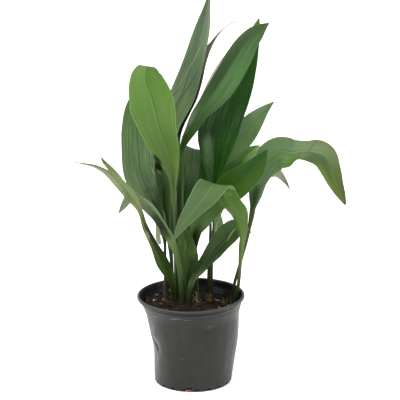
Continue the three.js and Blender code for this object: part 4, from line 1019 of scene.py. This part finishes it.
def soilMaterial():
    made, tree, shader = newMaterial("dampSoil")
    spot = put(tree, "TexCoord")["Object"]
    patches = blotched(tree, spot, *soil["patches"])
    crumbs = useGroup(tree, grit, Vector=spot, Scale=soil["speckScale"], Share=soil["speckShare"])
    # Painted shade low down, where the soil shows in the holes of the foot.
    deep = fade(tree, put(tree, "SeparateXYZ", {0: spot})["Z"], *soil["deepShadeFade"])
    colour = mixColour(tree, patches, paint(*soil["damp"]), paint(*soil["dry"]))
    colour = tinted(tree, tinted(tree, colour, crumbs["Specks"], soil["specks"]), deep, soil["deep"])
    finishMaterial(tree, shader, colour, soil["roughness"], soil["specular"], crumbs["Height"], *soil["relief"])
    return made


class Heap:  # many small closed bits gathered into one mesh
    def __init__(self):
        self.points, self.faces, self.tones = [], [], []

    def add(self, points, faces, tone):
        first = len(self.points)
        self.points += points
        self.faces += [[first + k for k in face] for face in faces]
        self.tones += [tone] * len(points)

    def mesh(self, name):
        made = newMesh(name, self.points, self.faces)
        vectorField(made, "bitTone", self.tones)
        return made


def chipShape(rand, size, corners):  # angular chip: the hull of points drawn in a box
    bits = bmesh.new()
    for _ in range(corners):
        spot = Vector([rand.uniform(-1, 1) for _ in range(3)])
        spot /= max(1e-3, max(abs(c) for c in spot)) ** 0.8
        bits.verts.new([c * half / 2 for c, half in zip(spot, size)])
    bmesh.ops.convex_hull(bits, input=bits.verts)
    loose = [v for v in bits.verts if not v.link_faces]
    bmesh.ops.delete(bits, geom=loose, context="VERTS")
    bits.verts.index_update()
    points = [v.co.copy() for v in bits.verts]
    faces = [[v.index for v in face.verts] for face in bits.faces]
    bits.free()
    return points, faces


def laidChip(heap, rand, size, turn, spot, tone, corners):
    points, faces = chipShape(rand, size, corners)
    turned = Matrix.Rotation(turn[2], 3, "Z") @ Matrix.Rotation(turn[1], 3, "Y") @ Matrix.Rotation(turn[0], 3, "X")
    heap.add([turned @ p + Vector(spot) for p in points], faces, tone)


def around(angle, radius, middle=0):
    return radius * math.cos(angle) + middle, radius * math.sin(angle)


def barkMesh():
    heap, middle = Heap(), bark["middle"]
    rand = random.Random(bark["seed"])
    state = bark["seed"]

    def draw():  # random number from 0 to 1 for the big chips
        nonlocal state
        state = (state * 1664525 + 1013904223) % 4294967296
        return state / 4294967296

    count, reach, corners, lift = bark["big"]
    for _ in range(count):
        x, y = around(draw() * 2 * math.pi, reach * math.sqrt(draw()))
        size = [least + more * draw() for least, more in bark["bigSize"]]
        turn = ((draw() - 0.5) * bark["bigTilt"], (draw() - 0.5) * bark["bigTilt"], draw() * math.pi)
        tone = (rand.random(), rand.random(), 0)
        laidChip(heap, rand, size, turn, (x, y, soilTop(x, y) + lift), tone, corners)
    count, reach, corners, lift = bark["small"]
    tilt = bark["smallTilt"]
    for _ in range(count):
        x, y = around(rand.uniform(0, 2 * math.pi), reach * math.sqrt(rand.random()), middle)
        size = [rand.uniform(*span) for span in bark["smallSize"]]
        turn = (rand.uniform(-tilt, tilt), rand.uniform(-tilt, tilt), rand.uniform(0, 6))
        tone = (rand.random(), rand.random(), 0)
        laidChip(heap, rand, size, turn, (x, y, fineTop(x, y) + lift), tone, corners)
    count, reach, corners, lift = bark["crumbs"]
    for k in range(count + bark["whiteBits"]):
        x, y = around(rand.uniform(0, 2 * math.pi), reach * math.sqrt(rand.random()), middle)
        white = int(k >= count)
        wide = rand.uniform(*bark["whiteSize" if white else "crumbSize"])
        turn = [rand.uniform(0, 6) for _ in range(3)]
        tone = (rand.random(), rand.random(), white)
        size = [wide * part for part in bark["crumbShape"]]
        laidChip(heap, rand, size, turn, (x, y, fineTop(x, y) + lift), tone, corners)
    return heap.mesh("barkAndCrumbs")


def barkMaterial():
    made, tree, shader = newMaterial("pineBark")
    tones = put(tree, "SeparateXYZ", {0: put(tree, "Attribute", attribute_name="bitTone")["Vector"]})
    grain = blotched(tree, put(tree, "TexCoord")["Object"], *bark["grainBlotches"])
    colour = tinted(tree, ramp(tree, tones["X"], bark["tones"]), grain, bark["grain"], bark["grainShare"])
    colour = tinted(tree, colour, tones["Z"], bark["white"])
    finishMaterial(tree, shader, colour, bark["roughness"], bark["specular"], grain, *bark["relief"])
    return made


showPiece("pottingSoil", soilMesh(), soilMaterial(), "soil", "soil")
showPiece("barkAndCrumbs", barkMesh(), barkMaterial(), "soil", smooth=False)
print("soil and bark laid")

# Knobs: x, y, z and radius in mm. They are melted together, then ringed and wrinkled.
rhizome = {
    "knobs": [(3, -17, 161, 5.4), (8, -9, 164, 7.2), (14, -2, 163, 6), (19, 3, 160, 4.4)],
    "turn": 0.7, "stretch": (1.25, 1, 0.85, 1), "voxel": 0.8, "softness": 0.6, "softSteps": 6,
    "rings": 0.3, "ringWay": (0.76, 0.64), "ringCount": 2.1, "wrinkles": 0.5, "wrinkleSize": 2.2,
    "colours": ((24, 18, 14), (50, 38, 28), (62, 34, 24)),
}
# A dry sheath round a stem: radius and height of its outline. Its outer wall is ribbed, and its top is
# ragged from a height on, fully so over a height.
husk = {
    "foot": (32.6, 24), "sides": 64, "corner": 2.5, "longest": 2,
    "profile": [(5, 147), (7.4, 147), (8.8, 158), (8, 168), (6.6, 176), (5.6, 181), (5, 179), (5, 147)],
    "ribs": 17, "rib": 0.35, "ribFrom": 5.2, "inset": 0.4, "ragged": 4.5, "raggedFrom": 165, "raggedOver": 16,
    "colours": ((52, 38, 26), (116, 90, 62), (90, 58, 40)),
}
# The dry skin that both have: upright fibres, dark and light, with reddish patches.
skin = {
    "fibres": (420.0, 0.35, 0.65, 0.16), "patches": (120.0, 0.45, 0.65), "reddishShare": 0.6,
    "roughness": 0.82, "specular": 0.2, "relief": (0.7, 0.0007),
}


def rhizomeMesh():
    lumps = bmesh.new()
    shape = Matrix.Rotation(rhizome["turn"], 4, "Z") @ Matrix.Diagonal(rhizome["stretch"])
    for *spot, radius in rhizome["knobs"]:
        made = bmesh.ops.create_icosphere(lumps, subdivisions=4, radius=radius)["verts"]
        bmesh.ops.transform(lumps, matrix=Matrix.Translation(spot) @ shape, verts=made)
    bmesh.ops.scale(lumps, vec=(mm, mm, mm), verts=lumps.verts)
    mesh = bpy.data.meshes.new("rhizome")
    lumps.to_mesh(mesh)
    lumps.free()
    piece = addObject("rhizome", mesh)
    melted = piece.modifiers.new("melt", "REMESH")
    melted.mode, melted.voxel_size = "VOXEL", rhizome["voxel"] * mm
    softened = piece.modifiers.new("soften", "SMOOTH")
    softened.factor, softened.iterations = rhizome["softness"], rhizome["softSteps"]
    made = finalMesh(piece)
    alongX, alongY = rhizome["ringWay"]
    for vertex in made.vertices:  # ring scars and wrinkles of the old bases
        spot = vertex.co / mm
        rings = rhizome["rings"] * math.sin((spot.x * alongX + spot.y * alongY) * rhizome["ringCount"])
        wrinkles = rhizome["wrinkles"] * noise.noise(spot / rhizome["wrinkleSize"])
        vertex.co += vertex.normal * (rings + wrinkles) * mm
    return made


def barkyMaterial(name, dark, light, reddish):
    made, tree, shader = newMaterial(name)
    spot = put(tree, "TexCoord")["Object"]
    fibres, patches = blotched(tree, spot, *skin["fibres"]), blotched(tree, spot, *skin["patches"])
    colour = mixColour(tree, fibres, paint(*dark), paint(*light))
    colour = tinted(tree, colour, patches, reddish, skin["reddishShare"])
    finishMaterial(tree, shader, colour, skin["roughness"], skin["specular"], fibres, *skin["relief"])
    return made


def huskMesh():
    x0, y0 = husk["foot"]
    outline = divided(rounded(husk["profile"], husk["corner"]), husk["longest"])[:-1]
    sides, points = husk["sides"], []
    for radius, z in outline:
        for angle in (2 * math.pi * side / sides for side in range(sides)):
            rib = husk["rib"] * math.cos(husk["ribs"] * angle + 2 * math.sin(3 * angle))
            ragged = husk["ragged"] * noise.noise(Vector((math.cos(angle) * 2.2, math.sin(angle) * 2.2, 3)))
            wide = radius + (rib - husk["inset"]) * (radius > husk["ribFrom"])
            tall = z + ragged * max(0, z - husk["raggedFrom"]) / husk["raggedOver"]
            points.append((x0 + wide * math.cos(angle), y0 + wide * math.sin(angle), tall))
    return newMesh("stemHusk", points, bandFaces(sides, len(outline), len(points)))


showPiece("rhizomeLump", rhizomeMesh(), barkyMaterial("rhizomeSkin", *rhizome["colours"]), "rhizome", "rhizome")
showPiece("stemHusk", huskMesh(), barkyMaterial("huskFibre", *husk["colours"]), "husk", "stem_husk")

# Bits on the soil and at the stems. Strands: places with a radius, then a colour. Flakes: place,
# size, turn about x, y and z, then a colour.
litter = {
    "seed": 5, "sides": 10, "steps": 6, "corners": 26,
    "fibres": (700.0, 0.35, 0.65, 0.12), "shade": (0.5, 1.05), "roughness": 0.8, "specular": 0.2,
    "relief": (0.5, 0.0004),
    "strands": [
        ([(-2, 6, 166, 0.7), (4, 8, 174, 0.6), (9, 9, 184, 0.4)], (186, 172, 146)),
        ([(16, 6, 166, 0.7), (8, 8, 172, 0.6), (-2, 8, 181, 0.4)], (172, 156, 128)),
        ([(7, 4, 164, 0.7), (8, 6, 176, 0.6), (5, 8, 190, 0.4)], (190, 178, 152)),
        ([(20, 2, 163, 0.7), (10, 4, 168, 0.6), (0, 6, 173, 0.4)], (150, 132, 104)),
        ([(24, 8, 163, 0.7), (15, 10, 171, 0.6), (8, 11, 182, 0.4)], (140, 124, 96)),
        ([(8, 18, 165, 0.8), (11.5, 20, 178, 0.7), (10.5, 22, 200, 0.6), (10.6, 22, 219, 0.4)], (128, 122, 92)),
        ([(65, 3, 162, 1.3), (64, 2, 170, 1.2), (62.5, 1, 179, 0.4)], (96, 108, 40)),
        ([(68.5, 5, 162, 1.1), (69.5, 4, 169, 1), (71, 3, 176, 0.4)], (108, 116, 52)),
        ([(79, 6, 162, 1.4), (79, 5, 172, 1.2), (80.5, 4, 179, 0.4)], (86, 98, 38)),
        ([(-57, 47.7, 162, 4.9), (-57.2, 47.2, 176, 4.7), (-57.5, 46.6, 192, 4.3), (-57.8, 46, 202, 3.9)],
            (86, 78, 74)),
        ([(-36, 10, 168, 1.1), (-36.6, 9, 184, 1), (-38, 8, 203, 0.7)], (150, 152, 118)),
        ([(86, 22, 160, 4.6), (88, 22, 172, 4.2), (90, 23, 186, 3.4), (91.4, 24, 196, 1)], (38, 54, 26)),
        ([(-66, 20, 166, 0.5), (-58, 8, 170, 0.4), (-50, -2, 167, 0.3)], (132, 112, 84)),
        ([(30, -30, 161, 0.5), (42, -24, 164, 0.4), (52, -30, 160, 0.3)], (118, 96, 70)),
    ],
    "flakes": [
        ((51, 24, 164.4), (7, 3, 0.9), (0.3, 0.1, 0.4), (168, 162, 140)),
        ((58, 20, 164.2), (5, 3, 0.9), (-0.2, 0.3, 1.2), (150, 146, 122)),
        ((46, 28, 164.8), (6, 3, 0.8), (0.4, -0.3, 2.1), (128, 118, 94)),
        ((62, 12, 163.8), (6, 2.4, 0.9), (0.2, 0.2, 0.2), (134, 138, 84)),
        ((72, -4, 163), (7, 2.4, 0.9), (0.3, -0.2, 0.9), (120, 112, 84)),
        ((14, -28, 163.4), (12, 8, 2.4), (0.2, 0.1, 0.3), (92, 56, 42)),
        ((24, -20, 164), (10, 7, 2.4), (-0.3, 0.1, 1.4), (78, 46, 34)),
        ((-74, 40, 170.5), (10, 6, 2.4), (0.3, 0.2, 0.5), (112, 88, 80)),
        ((-61, 14, 169.5), (9, 6, 2.2), (0.2, -0.3, 1), (104, 80, 72)),
        ((-80, 5, 171), (4.6, 4, 2), (0.4, 0.4, 0), (214, 210, 200)),
        ((-66, -14, 169.5), (8, 5, 2), (-0.3, 0.2, 2), (110, 84, 66)),
        ((-8.6, -78.2, 3), (14, 2.4, 5.4), (0.06, 0.03, -0.08), (138, 84, 76)),
    ],
}


def addStrand(heap, rows, tint):  # closed tube along a smooth bend
    path = [Vector(row[:3]) for row in rows]
    spans, sides = len(rows) - 1, litter["sides"]
    steps = litter["steps"] * spans
    points = []
    for step in range(steps + 1):
        k = min(spans - 1, step // litter["steps"])
        u = step / litter["steps"] - k
        slopes = (path[k + 1] - path[max(0, k - 1)]) / 2, (path[min(spans, k + 2)] - path[k]) / 2
        spot = bentBetween(u, 1, path[k], slopes[0], path[k + 1], slopes[1])
        radius = rows[k][3] + (rows[k + 1][3] - rows[k][3]) * u
        for turn in (2 * math.pi * side / sides for side in range(sides)):
            points.append(spot + Vector((*around(turn, radius), 0)))
    faces = bandFaces(sides, steps, len(points))
    faces += [tuple(range(sides - 1, -1, -1)), tuple(range(steps * sides, len(points)))]
    heap.add(points, faces, paint(*tint)[:3])


def litterMesh():
    heap = Heap()
    for rows, tint in litter["strands"]:
        addStrand(heap, rows, tint)
    rand = random.Random(litter["seed"])
    for spot, size, turn, tint in litter["flakes"]:
        laidChip(heap, rand, size, turn, spot, paint(*tint)[:3], litter["corners"])
    return heap.mesh("soilLitter")


def litterMaterial():
    made, tree, shader = newMaterial("dryBits")
    tint = put(tree, "Attribute", attribute_name="bitTone")["Vector"]
    fibres = blotched(tree, put(tree, "TexCoord")["Object"], *litter["fibres"])
    colour = shaded(tree, tint, fade(tree, fibres, 0, 1, *litter["shade"]))
    finishMaterial(tree, shader, colour, litter["roughness"], litter["specular"], fibres, *litter["relief"])
    return made


showPiece("soilLitter", litterMesh(), litterMaterial(), "husk")
print("rhizome, husk and litter built")

studioPaper = {
    "corners": [(-9, -7, 0), (9, -7, 0), (9, 11, 0), (-9, 11, 0)], "glow": 0.42,
    "colours": ((0.95, 0.95, 0.95, 1), (0.95, 0.95, 0.945, 1)),
}
floorMesh = newMesh("studioFloor", studioPaper["corners"], [(0, 1, 2, 3)], 1)
floorMaterial, tree, shader = newMaterial("whitePaper")
mottled = put(tree, "TexNoise", {"Scale": 3.0, "Detail": 2})[0]
feed(tree, shader, {
    "Base Color": mixColour(tree, mottled, *studioPaper["colours"]), "Roughness": 0.9,
    "Specular IOR Level": 0.1, "Emission Color": (1, 1, 1, 1), "Emission Strength": studioPaper["glow"],
})
floorMesh.materials.append(floorMaterial)
addObject("studioFloor", floorMesh)

print("scene finished")
